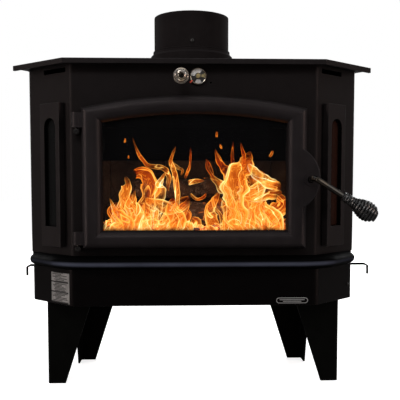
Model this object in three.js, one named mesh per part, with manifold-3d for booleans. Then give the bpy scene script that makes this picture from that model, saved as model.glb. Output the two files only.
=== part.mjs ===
// A bay-front wood burning stove: steel body with a cast glazed door, arched side windows, a deep
// front shelf, four bent legs, a flue collar and a rear blower. Millimetres, +Z up, front towards -Y.
import * as THREE from "three";
import { mergeVertices } from "three/addons/utils/BufferGeometryUtils.js";
import Module from "manifold-3d";

const wasm = await Module();
wasm.setup();

// ---------------------------------------------------------------- driving dimensions
const GAP = 0.3; // between pieces that touch

// Top plate: straight front edge at y = 0, canted corners ending in two pointed ears.
const PLATE = {
  top: 781, thickness: 7, lipDrop: 5, lipDepth: 9,
  frontHalf: 302, earHalf: 440, earY: 122, sideHalf: 412, returnY: 160, back: 512,
};

// Body: outside faces of the sheets. The canted panels run from (frontHalf, front) to (sideHalf, cantY).
const BODY = {
  sheet: 6, front: 28, frontHalf: 287, sideHalf: 405, cantY: 138, cornerEnd: 150, back: 500,
  bottom: 326, top: 774, bend: 14,
};
const CANT = Math.atan2(BODY.cantY - BODY.front, BODY.sideHalf - BODY.frontHalf);

const SHELF = { front: -8, sideHalf: 405, cornerX: 300, cantY: 120, low: 294, high: 326, nose: 26 };
const SKIRT = { front: 22, frontHalf: 290, sideHalf: 400, cantY: 126, low: 207, sheet: 4, bend: 26 };

const LEG = { sheet: 5, foot: 43, arm: 110, slopeTop: 207, top: 283, bend: 7 };
const FRONT_LEG = { x: 362, y: 98 };
const REAR_LEG = { x: 314, y: 325 };

// Door, its glass and the opening behind it: all are rectangles with an arched top.
const DOOR = {
  half: 261, bottom: 343.5, corner: 670, crown: 699, front: -6, back: 24,
  rollHalf: 20, rollDepth: 19,
};
const GLASS = { half: 214, bottom: 386.5, corner: 636, crown: 656, overlap: 9, front: 14.3, thickness: 4.4 };
const OPENING = { half: 226, bottom: 374, corner: 648, crown: 668 };
const LATCH = { x: 268, z: 505, lobeX: 213, lobeZ: 508, lobeRadius: 78, boss: 14, bore: 8.1, notch: 22 };
const HINGE = { x: -271.5, y: 10, pin: 4, stub: 7.5, stubFront: 4, lugHalf: 12, clearance: 0.5 };
const HINGES = {
  upper: { stubZ: 615, lugLow: 624, lugHigh: 658 },
  lower: { stubZ: 345, lugLow: 354, lugHigh: 384 },
};
const HANDLE = {
  rod: 7, reachY: -40, straightY: -14, rise: 5.5, dip: 0.565, length: 168, gripStart: 76, gripLength: 94, bend: 15,
};

const WINDOW = { nearS: 25, farS: 97, low: 346, high: 685, proud: 16, slot: 43, slotLow: 394, slotHigh: 650 };
const OUTLET = { nearS: 18, farS: 100, low: 755, high: 766 };

const FIREBOX = { half: 357, back: 445, wall: 5, low: 327, high: 753 };
const BRICK = { thickness: 32, height: 228, sideFront: 150, joint: 1.5, centre: 232 };
const FLUE = { y: 331, radius: 101.6, wall: 1.6, top: 944, seat: 800, collarTop: 853, bore: 96 };
const COLLAR = { spigot: 104.6, flange: 128, flangeEdge: 6, flare: 114, flareTop: 9, neck: 112, bead: 104.5 };
const BLIND_HOLE = { x: 38, z: 730, radius: 2.5 };
const BASE = { low: 314, high: 320 };
const AIR_HOLE = { half: 112, low: 224, high: 291 };

const BYPASS = { x: -32, z: 735, rod: 4.5, gripRadius: 18, gripFront: -58, gripBack: -2 };
const DIAL = { x: 8, z: 744, radius: 19, face: 21 };
const AIR_ROD = { radius: 3, y: 156, z: 289, inner: 250, pushedIn: 421, pulledOut: 449, drop: 26 };
const BLOWER = { half: 132, low: 214, high: 300, depth: 92, wall: 2, axisY: 547, axisZ: 257 };
const GRILLE = { slots: 7, half: 90, first: 232, pitch: 9, height: 4 };
const WHEEL = { x: 30, radius: 30, half: 60, disc: 3, blades: 12, bladeDepth: 8, bladeWall: 1.4, bore: 3.5 };
const MOTOR = { left: -118, right: -36, radius: 27, shaft: 3, shaftEnd: 100 };

// ---------------------------------------------------------------- materials
const finish = (color, roughness, metalness) => ({ color, roughness, metalness });
const FINISH = {
  blackSteel: finish(0x1c1a19, 0.6, 0.5),
  castIron: finish(0x26242a, 0.65, 0.5),
  glass: finish(0x14100e, 0.1, 0.0),
  nickel: finish(0xb9b4aa, 0.25, 1.0),
  rodSteel: finish(0x8a7a6c, 0.35, 1.0),
  brick: finish(0x7a5a44, 0.95, 0.0),
  rope: finish(0x2c2a28, 1.0, 0.0),
  ceramic: finish(0xb09a80, 0.95, 0.0),
  wood: finish(0x3a241a, 0.95, 0.0),
  ember: finish(0x5a2a18, 1.0, 0.0),
  label: finish(0xc9c9c4, 0.5, 0.2),
  dialFace: finish(0xd8d6d0, 0.4, 0.3),
  needle: finish(0xc03020, 0.5, 0.2),
};

const stove = new THREE.Group();

function add(name, geometry, look) {
  const mesh = new THREE.Mesh(geometry, new THREE.MeshStandardMaterial({ ...look }));
  mesh.name = name;
  stove.add(mesh);
}

// ---------------------------------------------------------------- solids
function solid(geometry) {
  const bare = geometry.index ? geometry.toNonIndexed() : geometry.clone();
  bare.deleteAttribute("normal");
  bare.deleteAttribute("uv");
  const merged = mergeVertices(bare, 1e-4);
  return new wasm.Manifold(new wasm.Mesh({
    numProp: 3,
    vertProperties: merged.attributes.position.array,
    triVerts: new Uint32Array(merged.index.array),
  }));
}

function geometryOf(body) {
  const mesh = body.getMesh();
  const geometry = new THREE.BufferGeometry();
  geometry.setAttribute("position", new THREE.BufferAttribute(mesh.vertProperties, 3));
  geometry.setIndex(new THREE.BufferAttribute(mesh.triVerts, 1));
  geometry.computeVertexNormals();
  return geometry;
}

function join(...parts) {
  return geometryOf(parts.map(solid).reduce((whole, part) => whole.add(part)));
}

function cut(part, ...tools) {
  return geometryOf(tools.map(solid).reduce((whole, tool) => whole.subtract(tool), solid(part)));
}

function common(part, tool) {
  return geometryOf(solid(part).intersect(solid(tool)));
}

// A box given by its low and high corners.
function block(x0, x1, y0, y1, z0, z1) {
  return new THREE.BoxGeometry(x1 - x0, y1 - y0, z1 - z0)
    .translate((x0 + x1) / 2, (y0 + y1) / 2, (z0 + z1) / 2);
}

// A flat outline in x, y raised between two heights.
function raise(shape, z0, z1) {
  return new THREE.ExtrudeGeometry(shape, { depth: z1 - z0, bevelEnabled: false, curveSegments: 12 })
    .translate(0, 0, z0);
}

// An upright outline in x, z given a thickness from yFront back to yBack.
function upright(shape, yFront, yBack, curveSegments = 14) {
  return new THREE.ExtrudeGeometry(shape, { depth: yBack - yFront, bevelEnabled: false, curveSegments })
    .rotateX(Math.PI / 2)
    .translate(0, yBack, 0);
}

// A round bar along x, y or z.
function bar(axis, radius, from, to, a, b, sides = 16) {
  const length = to - from;
  const cylinder = new THREE.CylinderGeometry(radius, radius, length, sides);
  if (axis === "y") return cylinder.translate(a, (from + to) / 2, b);
  if (axis === "z") return cylinder.rotateX(Math.PI / 2).translate(a, b, (from + to) / 2);
  return cylinder.rotateZ(Math.PI / 2).translate((from + to) / 2, a, b);
}

// Rectangle with an arched top, as an upright outline.
function archShape(half, bottom, corner, crown) {
  const rise = crown - corner;
  const radius = (half * half + rise * rise) / (2 * rise);
  const centreZ = crown - radius;
  const spread = Math.asin(half / radius);
  const shape = new THREE.Shape();
  shape.moveTo(-half, bottom);
  shape.lineTo(half, bottom);
  shape.absarc(0, centreZ, radius, Math.PI / 2 - spread, Math.PI / 2 + spread, false);
  return shape;
}

function archRing(outer, inner) {
  const ring = archShape(...outer);
  ring.holes.push(archShape(...inner));
  return ring;
}

function rectangle(x0, x1, z0, z1) {
  const points = [[x0, z0], [x1, z0], [x1, z1], [x0, z1]];
  return new THREE.Shape(points.map(([x, z]) => new THREE.Vector2(x, z)));
}

// Section of a sheet bent round the corners of its outside face. The inside lies left of the way round.
function bentSheet(corners, thickness, bend, steps = 4) {
  const points = corners.map(([x, y]) => new THREE.Vector2(x, y));
  const left = (v) => new THREE.Vector2(-v.y, v.x);
  const heading = (i) => points[i + 1].clone().sub(points[i]).normalize();
  const outside = [points[0].clone()];
  const inside = [points[0].clone().addScaledVector(left(heading(0)), thickness)];
  for (let i = 1; i < points.length - 1; i++) {
    const before = heading(i - 1);
    const after = heading(i);
    const turn = Math.acos(THREE.MathUtils.clamp(before.dot(after), -1, 1));
    const start = points[i].clone().addScaledVector(before, -bend * Math.tan(turn / 2));
    const centre = start.addScaledVector(left(before), bend);
    for (let step = 0; step <= steps; step++) {
      const out = left(before).negate().rotateAround(new THREE.Vector2(), (turn * step) / steps);
      outside.push(centre.clone().addScaledVector(out, bend));
      inside.push(centre.clone().addScaledVector(out, bend - thickness));
    }
  }
  const last = points.length - 1;
  outside.push(points[last].clone());
  inside.push(points[last].clone().addScaledVector(left(heading(last - 1)), thickness));
  return new THREE.Shape([...outside, ...inside.reverse()]);
}

// Moves a piece drawn flat (x along the panel, y = 0 on its face, -y outwards) onto a canted panel.
function onCant(geometry, side, along) {
  return geometry
    .translate(side * along, 0, 0)
    .rotateZ(side * CANT)
    .translate(side * BODY.frontHalf, BODY.front, 0);
}

const SIDES = [["left", -1], ["right", 1]];

// ---------------------------------------------------------------- top plate and flue
function plateOutline(inset) {
  const half = [
    [PLATE.frontHalf, inset], [PLATE.earHalf, PLATE.earY + inset],
    [PLATE.sideHalf, PLATE.returnY], [PLATE.sideHalf, PLATE.back],
  ];
  const mirrored = half.map(([x, y]) => [-x, y]).reverse();
  return new THREE.Shape([...half, ...mirrored].map(([x, y]) => new THREE.Vector2(x, y)));
}

function makeTopPlate() {
  const underside = PLATE.top - PLATE.thickness;
  const slab = raise(plateOutline(0), underside, PLATE.top);
  const lipWhole = raise(plateOutline(0), underside - PLATE.lipDrop, underside + 1);
  const behindLip = raise(plateOutline(PLATE.lipDepth), underside - PLATE.lipDrop - 1, underside);
  const flueHole = bar("z", FLUE.radius + 4, underside - 1, PLATE.top + 1, 0, FLUE.y, 40);
  add("top_plate", cut(join(slab, cut(lipWhole, behindLip)), flueHole), FINISH.blackSteel);
}

// The collar hangs through the top plate, rests on its flange and narrows to a bead round the pipe.
function makeFlue() {
  const { spigot, flange, flangeEdge, flare, flareTop, neck, bead } = COLLAR;
  const collar = [
    [FLUE.bore, FIREBOX.high + GAP], [spigot, FIREBOX.high + GAP], [spigot, PLATE.top + GAP],
    [flange, PLATE.top + GAP], [flange, PLATE.top + flangeEdge], [flare, PLATE.top + flareTop],
    [neck, FLUE.collarTop - 15], [bead + 1, FLUE.collarTop - 9], [bead + 1, FLUE.collarTop - 6],
    [bead, FLUE.collarTop - 4], [bead + 0.8, FLUE.collarTop - 1], [FLUE.radius + GAP, FLUE.collarTop],
    [FLUE.radius + GAP, FLUE.seat], [FLUE.bore, FLUE.seat],
  ];
  const profile = [...collar, collar[0]].map(([r, z]) => new THREE.Vector2(r, z));
  const ring = new THREE.LatheGeometry(profile, 32).rotateX(Math.PI / 2).translate(0, FLUE.y, 0);
  add("flue_collar", ring, FINISH.blackSteel);

  const inner = FLUE.radius - FLUE.wall;
  const tube = [
    [inner, FLUE.seat + GAP], [FLUE.radius, FLUE.seat + GAP], [FLUE.radius, FLUE.top], [inner, FLUE.top],
    [inner, FLUE.seat + GAP],
  ];
  const pipe = new THREE.LatheGeometry(tube.map(([r, z]) => new THREE.Vector2(r, z)), 32);
  add("flue_pipe", pipe.rotateX(Math.PI / 2).translate(0, FLUE.y, 0), FINISH.blackSteel);
}

// ---------------------------------------------------------------- body sheets
function windowOpening(width, low, high) {
  const r = width / 2;
  const shape = new THREE.Shape();
  shape.moveTo(-r, low);
  shape.lineTo(r, low);
  shape.absarc(0, high - r, r, 0, Math.PI, false);
  return shape;
}

const windowCentre = (WINDOW.nearS + WINDOW.farS) / 2;

function makeFaceplate() {
  const section = bentSheet([
    [-BODY.sideHalf, BODY.cornerEnd], [-BODY.sideHalf, BODY.cantY], [-BODY.frontHalf, BODY.front],
    [BODY.frontHalf, BODY.front], [BODY.sideHalf, BODY.cantY], [BODY.sideHalf, BODY.cornerEnd],
  ], BODY.sheet, BODY.bend);
  const sheet = raise(section, BODY.bottom + GAP, BODY.top - GAP);
  const through = [BODY.front - 5, BODY.front + BODY.sheet + 5];
  const holes = [
    upright(archShape(OPENING.half, OPENING.bottom, OPENING.corner, OPENING.crown), ...through),
    block(OPENING.half - 1, LATCH.x + 18, ...through, LATCH.z - LATCH.notch, LATCH.z + LATCH.notch),
    bar("y", BYPASS.rod + 1, ...through, BYPASS.x, BYPASS.z),
    bar("y", 4, ...through, DIAL.x, DIAL.z),
    bar("y", BLIND_HOLE.radius, ...through, BLIND_HOLE.x, BLIND_HOLE.z, 10),
  ];
  for (const [, side] of SIDES) {
    const slot = upright(windowOpening(WINDOW.slot - 4, WINDOW.slotLow + 2, WINDOW.slotHigh - 2), -20, 20, 8);
    const outlet = upright(rectangle(-41, 41, OUTLET.low, OUTLET.high), -20, 20);
    holes.push(onCant(slot, side, windowCentre));
    holes.push(onCant(outlet, side, (OUTLET.nearS + OUTLET.farS) / 2));
  }
  add("faceplate", cut(sheet, ...holes), FINISH.blackSteel);
}

function makeSideAndRear() {
  const low = SHELF.low + GAP;
  for (const [name, side] of SIDES) {
    const xs = [side * BODY.sideHalf, side * (BODY.sideHalf - BODY.sheet)].sort((a, b) => a - b);
    const panel = block(...xs, BODY.cornerEnd + GAP, BODY.back - BODY.sheet - GAP, low, BODY.top - GAP);
    add(`side_panel_${name}`, panel, FINISH.blackSteel);
  }
  const rear = block(
    -BODY.sideHalf, BODY.sideHalf, BODY.back - BODY.sheet, BODY.back, SKIRT.low, BODY.top - GAP);
  const airHole = block(
    -AIR_HOLE.half, AIR_HOLE.half, BODY.back - 20, BODY.back + 20, AIR_HOLE.low, AIR_HOLE.high);
  add("rear_panel", cut(rear, airHole), FINISH.blackSteel);
  const insideHalf = BODY.sideHalf - BODY.sheet - GAP;
  const base = block(
    -insideHalf, insideHalf, BODY.cornerEnd + 1, BODY.back - BODY.sheet - GAP, BASE.low, BASE.high);
  add("base_plate", base, FINISH.blackSteel);
}

// Shelf with a broad rounded nose, wrapping the front and the canted corners.
function makeShelf() {
  const corner = 74;
  const shape = new THREE.Shape();
  const tip = [SHELF.sideHalf, BODY.cornerEnd - 0.5];
  const shoulder = [SHELF.sideHalf, SHELF.cantY];
  const turnIn = [SHELF.sideHalf - 14, SHELF.cantY - 27];
  const cantEnd = [SHELF.cornerX + corner * 0.55, SHELF.front + corner * 0.52];
  shape.moveTo(...tip);
  shape.lineTo(-tip[0], tip[1]);
  shape.lineTo(-shoulder[0], shoulder[1]);
  shape.quadraticCurveTo(-shoulder[0], shoulder[1] - 14, -turnIn[0], turnIn[1]);
  shape.lineTo(-cantEnd[0], cantEnd[1]);
  shape.quadraticCurveTo(-SHELF.cornerX, SHELF.front, -SHELF.cornerX + corner, SHELF.front);
  shape.lineTo(SHELF.cornerX - corner, SHELF.front);
  shape.quadraticCurveTo(SHELF.cornerX, SHELF.front, ...cantEnd);
  shape.lineTo(...turnIn);
  shape.quadraticCurveTo(shoulder[0], shoulder[1] - 14, ...shoulder);
  shape.lineTo(...tip);
  const half = (SHELF.high - SHELF.low) / 2;
  const slab = new THREE.ExtrudeGeometry(shape, {
    depth: 2, bevelThickness: half - 1, bevelSize: SHELF.nose, bevelOffset: -SHELF.nose,
    bevelSegments: 8, curveSegments: 8,
  }).translate(0, 0, SHELF.low + half - 1);
  add("hearth_shelf", slab, FINISH.blackSteel);
}

function makeSkirt() {
  const backY = BODY.back - BODY.sheet - GAP;
  const section = bentSheet([
    [-SKIRT.sideHalf, backY], [-SKIRT.sideHalf, SKIRT.cantY], [-SKIRT.frontHalf, SKIRT.front],
    [SKIRT.frontHalf, SKIRT.front], [SKIRT.sideHalf, SKIRT.cantY], [SKIRT.sideHalf, backY],
  ], SKIRT.sheet, SKIRT.bend, 5);
  const rodHoles = SIDES.map(([, side]) => {
    const middle = side * SKIRT.sideHalf;
    return bar("x", AIR_ROD.radius + 0.7, middle - 20, middle + 20, AIR_ROD.y, AIR_ROD.z, 12);
  });
  add("skirt", cut(raise(section, SKIRT.low, SHELF.low - GAP), ...rodHoles), FINISH.blackSteel);
}

// A leg is an L-bent sheet whose two wings narrow towards the foot.
function makeLeg(name, place, sideX, wingY) {
  const arm = LEG.arm;
  const corners = [[arm, 0], [0, 0], [0, arm]].reverse();
  const section = bentSheet(corners, LEG.sheet, LEG.bend);
  const blank = raise(section, 0, LEG.top);
  const wedge = new THREE.Shape([
    new THREE.Vector2(LEG.foot, -1), new THREE.Vector2(arm, LEG.slopeTop),
    new THREE.Vector2(arm + 30, LEG.slopeTop), new THREE.Vector2(arm + 30, -1),
  ]);
  const frontWedge = upright(wedge, -10, LEG.sheet + 2);
  const sideWedge = upright(wedge, -LEG.sheet - 2, 10).rotateZ(Math.PI / 2);
  const leg = cut(blank, frontWedge, sideWedge);
  // The wings run inwards and towards the middle of the stove, so each corner is a turned or flipped copy.
  leg.scale(-sideX, wingY, 1);
  if (-sideX * wingY < 0) flipFaces(leg);
  add(name, leg.translate(place.x * sideX, place.y, 0), FINISH.blackSteel);
}

function flipFaces(geometry) {
  const index = geometry.index.array;
  for (let i = 0; i < index.length; i += 3) [index[i + 1], index[i + 2]] = [index[i + 2], index[i + 1]];
  geometry.computeVertexNormals();
}

function makeLegs() {
  for (const [name, side] of SIDES) {
    makeLeg(`leg_front_${name}`, FRONT_LEG, side, 1);
    makeLeg(`leg_rear_${name}`, REAR_LEG, side, -1);
  }
}

// ---------------------------------------------------------------- firebox and lining
function makeFirebox() {
  const clear = 0.5;
  const inner = BODY.sheet + clear;
  // The front rim follows the inside face of the bay front.
  const rimFront = BODY.front + inner;
  const bendX = BODY.frontHalf - inner * Math.tan(CANT / 2) - 1;
  const rimSideY = rimFront + (FIREBOX.half - bendX) * Math.tan(CANT) + 1;
  const outline = (half, back, reach) => new THREE.Shape([
    [half, back], [-half, back], [-half, rimSideY - reach], [-bendX, rimFront - reach],
    [bendX, rimFront - reach], [half, rimSideY - reach],
  ].map(([x, y]) => new THREE.Vector2(x, y)));
  const shell = raise(outline(FIREBOX.half, FIREBOX.back, 0), FIREBOX.low, FIREBOX.high);
  const wall = FIREBOX.wall;
  const inside = outline(FIREBOX.half - wall, FIREBOX.back - wall, 60);
  const room = raise(inside, FIREBOX.low + wall, FIREBOX.high - wall);
  const flueHole = bar("z", FLUE.bore, FIREBOX.high - 10, FIREBOX.high + 5, 0, FLUE.y, 40);
  add("firebox_shell", cut(shell, room, flueHole), FINISH.blackSteel);
}

const insideHalf = FIREBOX.half - FIREBOX.wall;
const insideBack = FIREBOX.back - FIREBOX.wall;
const insideFloor = FIREBOX.low + FIREBOX.wall;

// A firebrick with slightly softened long edges.
function brick(x0, x1, y0, y1, z0, z1) {
  const soft = 2;
  const shape = rectangle(x0 + soft, x1 - soft, y0 + soft, y1 - soft);
  return new THREE.ExtrudeGeometry(shape, {
    depth: z1 - z0 - 2 * soft, bevelThickness: soft, bevelSize: soft, bevelSegments: 1,
  }).translate(0, 0, z0 + soft);
}

function makeLining() {
  const low = insideFloor + GAP;
  const high = low + BRICK.height;
  const backFront = insideBack - GAP - BRICK.thickness;
  const end = insideHalf - GAP;
  const edges = [-end, -BRICK.centre, -BRICK.centre / 3, BRICK.centre / 3, BRICK.centre, end];
  for (let i = 0; i < edges.length - 1; i++) {
    const x0 = edges[i] + BRICK.joint / 2;
    const x1 = edges[i + 1] - BRICK.joint / 2;
    add(`brick_back_${i + 1}`, brick(x0, x1, backFront, insideBack - GAP, low, high), FINISH.brick);
  }
  const sideLength = (backFront - BRICK.sideFront) / 2;
  for (const [name, side] of SIDES) {
    const xs = [side * (insideHalf - GAP), side * (insideHalf - GAP - BRICK.thickness)].sort((a, b) => a - b);
    for (let i = 0; i < 2; i++) {
      const y0 = BRICK.sideFront + i * sideLength;
      const piece = brick(...xs, y0, y0 + sideLength - BRICK.joint, low, high);
      add(`brick_${name}_${i + 1}`, piece, FINISH.brick);
    }
  }
  const floorHalf = insideHalf - BRICK.thickness - 2;
  const floor = block(-floorHalf, floorHalf, 70, backFront - 1, low, low + BRICK.thickness);
  add("brick_floor", floor, FINISH.brick);
}

const EMBERS = { low: insideFloor + BRICK.thickness + 2 * GAP, high: 384 };

function makeFuel() {
  const bed = new THREE.Shape();
  bed.absellipse(0, 232, 268, 128, 0, Math.PI * 2);
  const mound = new THREE.ExtrudeGeometry(bed, {
    depth: 6, bevelThickness: 7, bevelSize: 26, bevelOffset: -26, bevelSegments: 2, curveSegments: 14,
  }).translate(0, 0, EMBERS.low + 7);
  const flat = block(-400, 400, 0, 500, EMBERS.low, EMBERS.high);
  add("ember_bed", common(mound, flat), FINISH.ember);

  const logSection = new THREE.Shape();
  for (let i = 0; i < 9; i++) {
    const angle = (i / 9) * Math.PI * 2;
    const radius = 1 + 0.09 * Math.sin(3 * angle) + 0.05 * Math.cos(5 * angle);
    const point = [Math.cos(angle) * radius, Math.sin(angle) * radius];
    if (i === 0) logSection.moveTo(...point);
    else logSection.lineTo(...point);
  }
  // length, radius, turn about z, and the middle of each log
  const logs = [
    [400, 34, 0.06, -20, 290, 420],
    [380, 32, -0.08, 25, 196, 418],
    [330, 30, 0.38, 0, 240, 484],
  ];
  logs.forEach(([length, radius, turn, x, y, z], i) => {
    const log = new THREE.ExtrudeGeometry(logSection, { depth: length, bevelEnabled: false })
      .translate(0, 0, -length / 2)
      .scale(radius, radius, 1)
      .rotateY(Math.PI / 2)
      .rotateZ(turn)
      .translate(x, y, z);
    add(`log_${i + 1}`, log, FINISH.wood);
  });
}

const BAFFLE = { low: 655, high: 663, front: 100 };
const COMBUSTOR = { half: 165, front: 150, back: 250, low: 600 };
const DAMPER = { half: 120, front: 262, back: 372 };
const SHIELD = { half: 185, front: 120, thickness: 6, low: 572 };
const AIR_WASH = { half: 250, front: 46, wall: 4, back: 72, low: 628, high: 690 };

function makeUpperFirebox() {
  const half = insideHalf - 1;
  const slab = block(-half, half, BAFFLE.front, insideBack - 1, BAFFLE.low, BAFFLE.high);
  const seatHalf = COMBUSTOR.half + 1;
  const seat = block(-seatHalf, seatHalf, COMBUSTOR.front - 1, COMBUSTOR.back + 1, 640, 680);
  const lap = 12;
  const bypassHalf = DAMPER.half - lap;
  const bypass = block(-bypassHalf, bypassHalf, DAMPER.front + lap, DAMPER.back - lap, 640, 680);
  const { half: shieldHalf, front: shieldFront, thickness, low } = SHIELD;
  const shield = block(-shieldHalf, shieldHalf, shieldFront, shieldFront + thickness, low, BAFFLE.low + 1);
  add("baffle_plate", cut(join(slab, shield), seat, bypass), FINISH.blackSteel);
  const combustor = block(
    -COMBUSTOR.half, COMBUSTOR.half, COMBUSTOR.front, COMBUSTOR.back, COMBUSTOR.low, BAFFLE.high);
  add("catalytic_combustor", combustor, FINISH.ceramic);
  const { half: washHalf, front, wall, back, high } = AIR_WASH;
  const wash = block(-washHalf, washHalf, front, front + wall, AIR_WASH.low, high);
  const washTop = block(-washHalf, washHalf, front + wall - 1, back, high - wall, high);
  add("air_wash_deflector", join(wash, washTop), FINISH.blackSteel);
}

// ---------------------------------------------------------------- bay windows
function makeWindows() {
  const width = WINDOW.farS - WINDOW.nearS;
  const glassWidth = WINDOW.slot + 12;
  for (const [name, side] of SIDES) {
    const outline = rectangle(-width / 2, width / 2, WINDOW.low, WINDOW.high);
    outline.holes.push(windowOpening(WINDOW.slot, WINDOW.slotLow, WINDOW.slotHigh));
    const soft = 0.8;
    const frame = new THREE.ExtrudeGeometry(outline, {
      depth: WINDOW.proud - 2 * soft - GAP, bevelThickness: soft, bevelSize: soft, bevelOffset: -soft,
      bevelSegments: 1, curveSegments: 8,
    }).rotateX(Math.PI / 2).translate(0, -GAP - soft, 0);
    const rebate = upright(
      windowOpening(glassWidth + 1, WINDOW.slotLow - 7, WINDOW.slotHigh + 7), -6, 5, 8);
    add(`window_frame_${name}`, onCant(cut(frame, rebate), side, windowCentre), FINISH.castIron);
    const pane = windowOpening(glassWidth, WINDOW.slotLow - 6.5, WINDOW.slotHigh + 6.5);
    add(`window_glass_${name}`, onCant(upright(pane, -5.4, -0.6, 8), side, windowCentre), FINISH.glass);
  }
}

// ---------------------------------------------------------------- door
function makeDoorFrame() {
  const { rollHalf, rollDepth } = DOOR;
  const band = archRing(
    [DOOR.half, DOOR.bottom, DOOR.corner, DOOR.crown],
    [GLASS.half, GLASS.bottom, GLASS.corner, GLASS.crown],
  );
  const rolled = new THREE.ExtrudeGeometry(band, {
    depth: 40, bevelThickness: rollDepth, bevelSize: rollHalf, bevelOffset: -rollHalf,
    bevelSegments: 8, curveSegments: 16,
  }).rotateX(Math.PI / 2).translate(0, DOOR.front + rollDepth + 40, 0);
  const keep = block(-400, 400, DOOR.front - 50, DOOR.back, 300, 760);
  const lobeRing = new THREE.Shape();
  lobeRing.absarc(LATCH.lobeX, LATCH.lobeZ, LATCH.lobeRadius, 0, Math.PI * 2, false);
  const lobeDisc = new THREE.ExtrudeGeometry(lobeRing, {
    depth: 24, bevelThickness: 2.5, bevelSize: 2.5, bevelOffset: -2.5, bevelSegments: 1, curveSegments: 32,
  }).rotateX(Math.PI / 2).translate(0, DOOR.front + 3.5 + 24, 0);
  const lobe = common(lobeDisc, block(DOOR.half - 14, 320, -20, DOOR.back, 400, 620));
  const boss = bar("y", LATCH.boss, DOOR.front - 1.5, DOOR.back - 1, LATCH.x, LATCH.z, 24);
  const lugs = Object.values(HINGES).map(({ lugLow, lugHigh }) => {
    const eye = bar("z", HINGE.lugHalf, lugLow, lugHigh, HINGE.x, HINGE.y, 16);
    return join(eye, block(HINGE.x, -DOOR.half + 12, HINGE.y - 10, HINGE.y + 12, lugLow, lugHigh));
  });
  const eyes = Object.values(HINGES).map(({ lugLow, lugHigh }) =>
    bar("z", HINGE.pin + HINGE.clearance, lugLow - 1, lugHigh - 6, HINGE.x, HINGE.y, 14));
  const bore = bar("y", LATCH.bore, -30, 60, LATCH.x, LATCH.z, 16);
  const whole = join(common(rolled, keep), lobe, boss, ...lugs);
  const seat = GLASS.overlap + 0.6;
  const { half, bottom, corner, crown } = GLASS;
  const glassOutline = archShape(half + seat, bottom - seat, corner + seat, crown + seat);
  const glassRebate = upright(glassOutline, GLASS.front - GAP, DOOR.back + 1);
  add("door_frame", cut(whole, ...eyes, bore, glassRebate), FINISH.castIron);
}

function makeDoorGlass() {
  const { half, bottom, corner, crown, overlap, front, thickness } = GLASS;
  const pane = archShape(half + overlap, bottom - overlap, corner + overlap, crown + overlap);
  add("door_glass", upright(pane, front, front + thickness), FINISH.glass);
  const keeper = archRing(
    [half + overlap, bottom - overlap, corner + overlap, crown + overlap],
    [half, bottom, corner, crown],
  );
  const keeperFront = front + thickness + GAP;
  add("glass_retainer", upright(keeper, keeperFront, keeperFront + 3), FINISH.blackSteel);
  const rope = archRing([247, 355, 657, 682], [233, 367, 651, 672]);
  add("door_gasket", upright(rope, DOOR.back + GAP, BODY.front - GAP), FINISH.rope);
}

// Hinge: a round stub stands out of the faceplate, and its upright pin carries the door's eye.
function makeHinges() {
  for (const [name, { stubZ, lugHigh }] of Object.entries(HINGES)) {
    const stub = bar("y", HINGE.stub, HINGE.stubFront, BODY.front - GAP, HINGE.x, stubZ, 20);
    const seat = bar("z", HINGE.pin + GAP, stubZ - 4, stubZ + 20, HINGE.x, HINGE.y, 14);
    add(`hinge_stub_${name}`, cut(stub, seat), FINISH.blackSteel);
    const pin = bar("z", HINGE.pin, stubZ - 3.7, lugHigh - 8, HINGE.x, HINGE.y, 14);
    add(`hinge_pin_${name}`, pin, FINISH.rodSteel);
  }
}

// ---------------------------------------------------------------- latch and handle
// Spring-wire grips are drawn as hollow bulbs: radius at each fraction of the length.
function gripBulb(length, startRadius, fullRadius, bore, hollow) {
  const neck = 0.34;
  const full = 0.74;
  const outline = (t) => {
    const rise = (Math.min(t, full) - neck) / (full - neck);
    const swell = t < neck ? 0.12 * (t / neck) : 0.12 + 0.88 * Math.sin(rise * Math.PI / 2);
    const close = t > full ? Math.sqrt(Math.max(0, 1 - ((t - full) / 0.3) ** 2)) : 1;
    return (startRadius + (fullRadius - startRadius) * swell) * close;
  };
  const steps = 9;
  const outer = [];
  for (let i = 0; i <= steps; i++) outer.push([outline(i / steps), (i / steps) * length]);
  const inner = outer.map(([r, z]) => [Math.max(bore, r - hollow), z]).reverse();
  const ring = [...outer, ...inner, outer[0]];
  return new THREE.LatheGeometry(ring.map(([r, z]) => new THREE.Vector2(r, z)), 12);
}

const handleAim = new THREE.Vector3(Math.cos(HANDLE.dip), 0, -Math.sin(HANDLE.dip));

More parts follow.
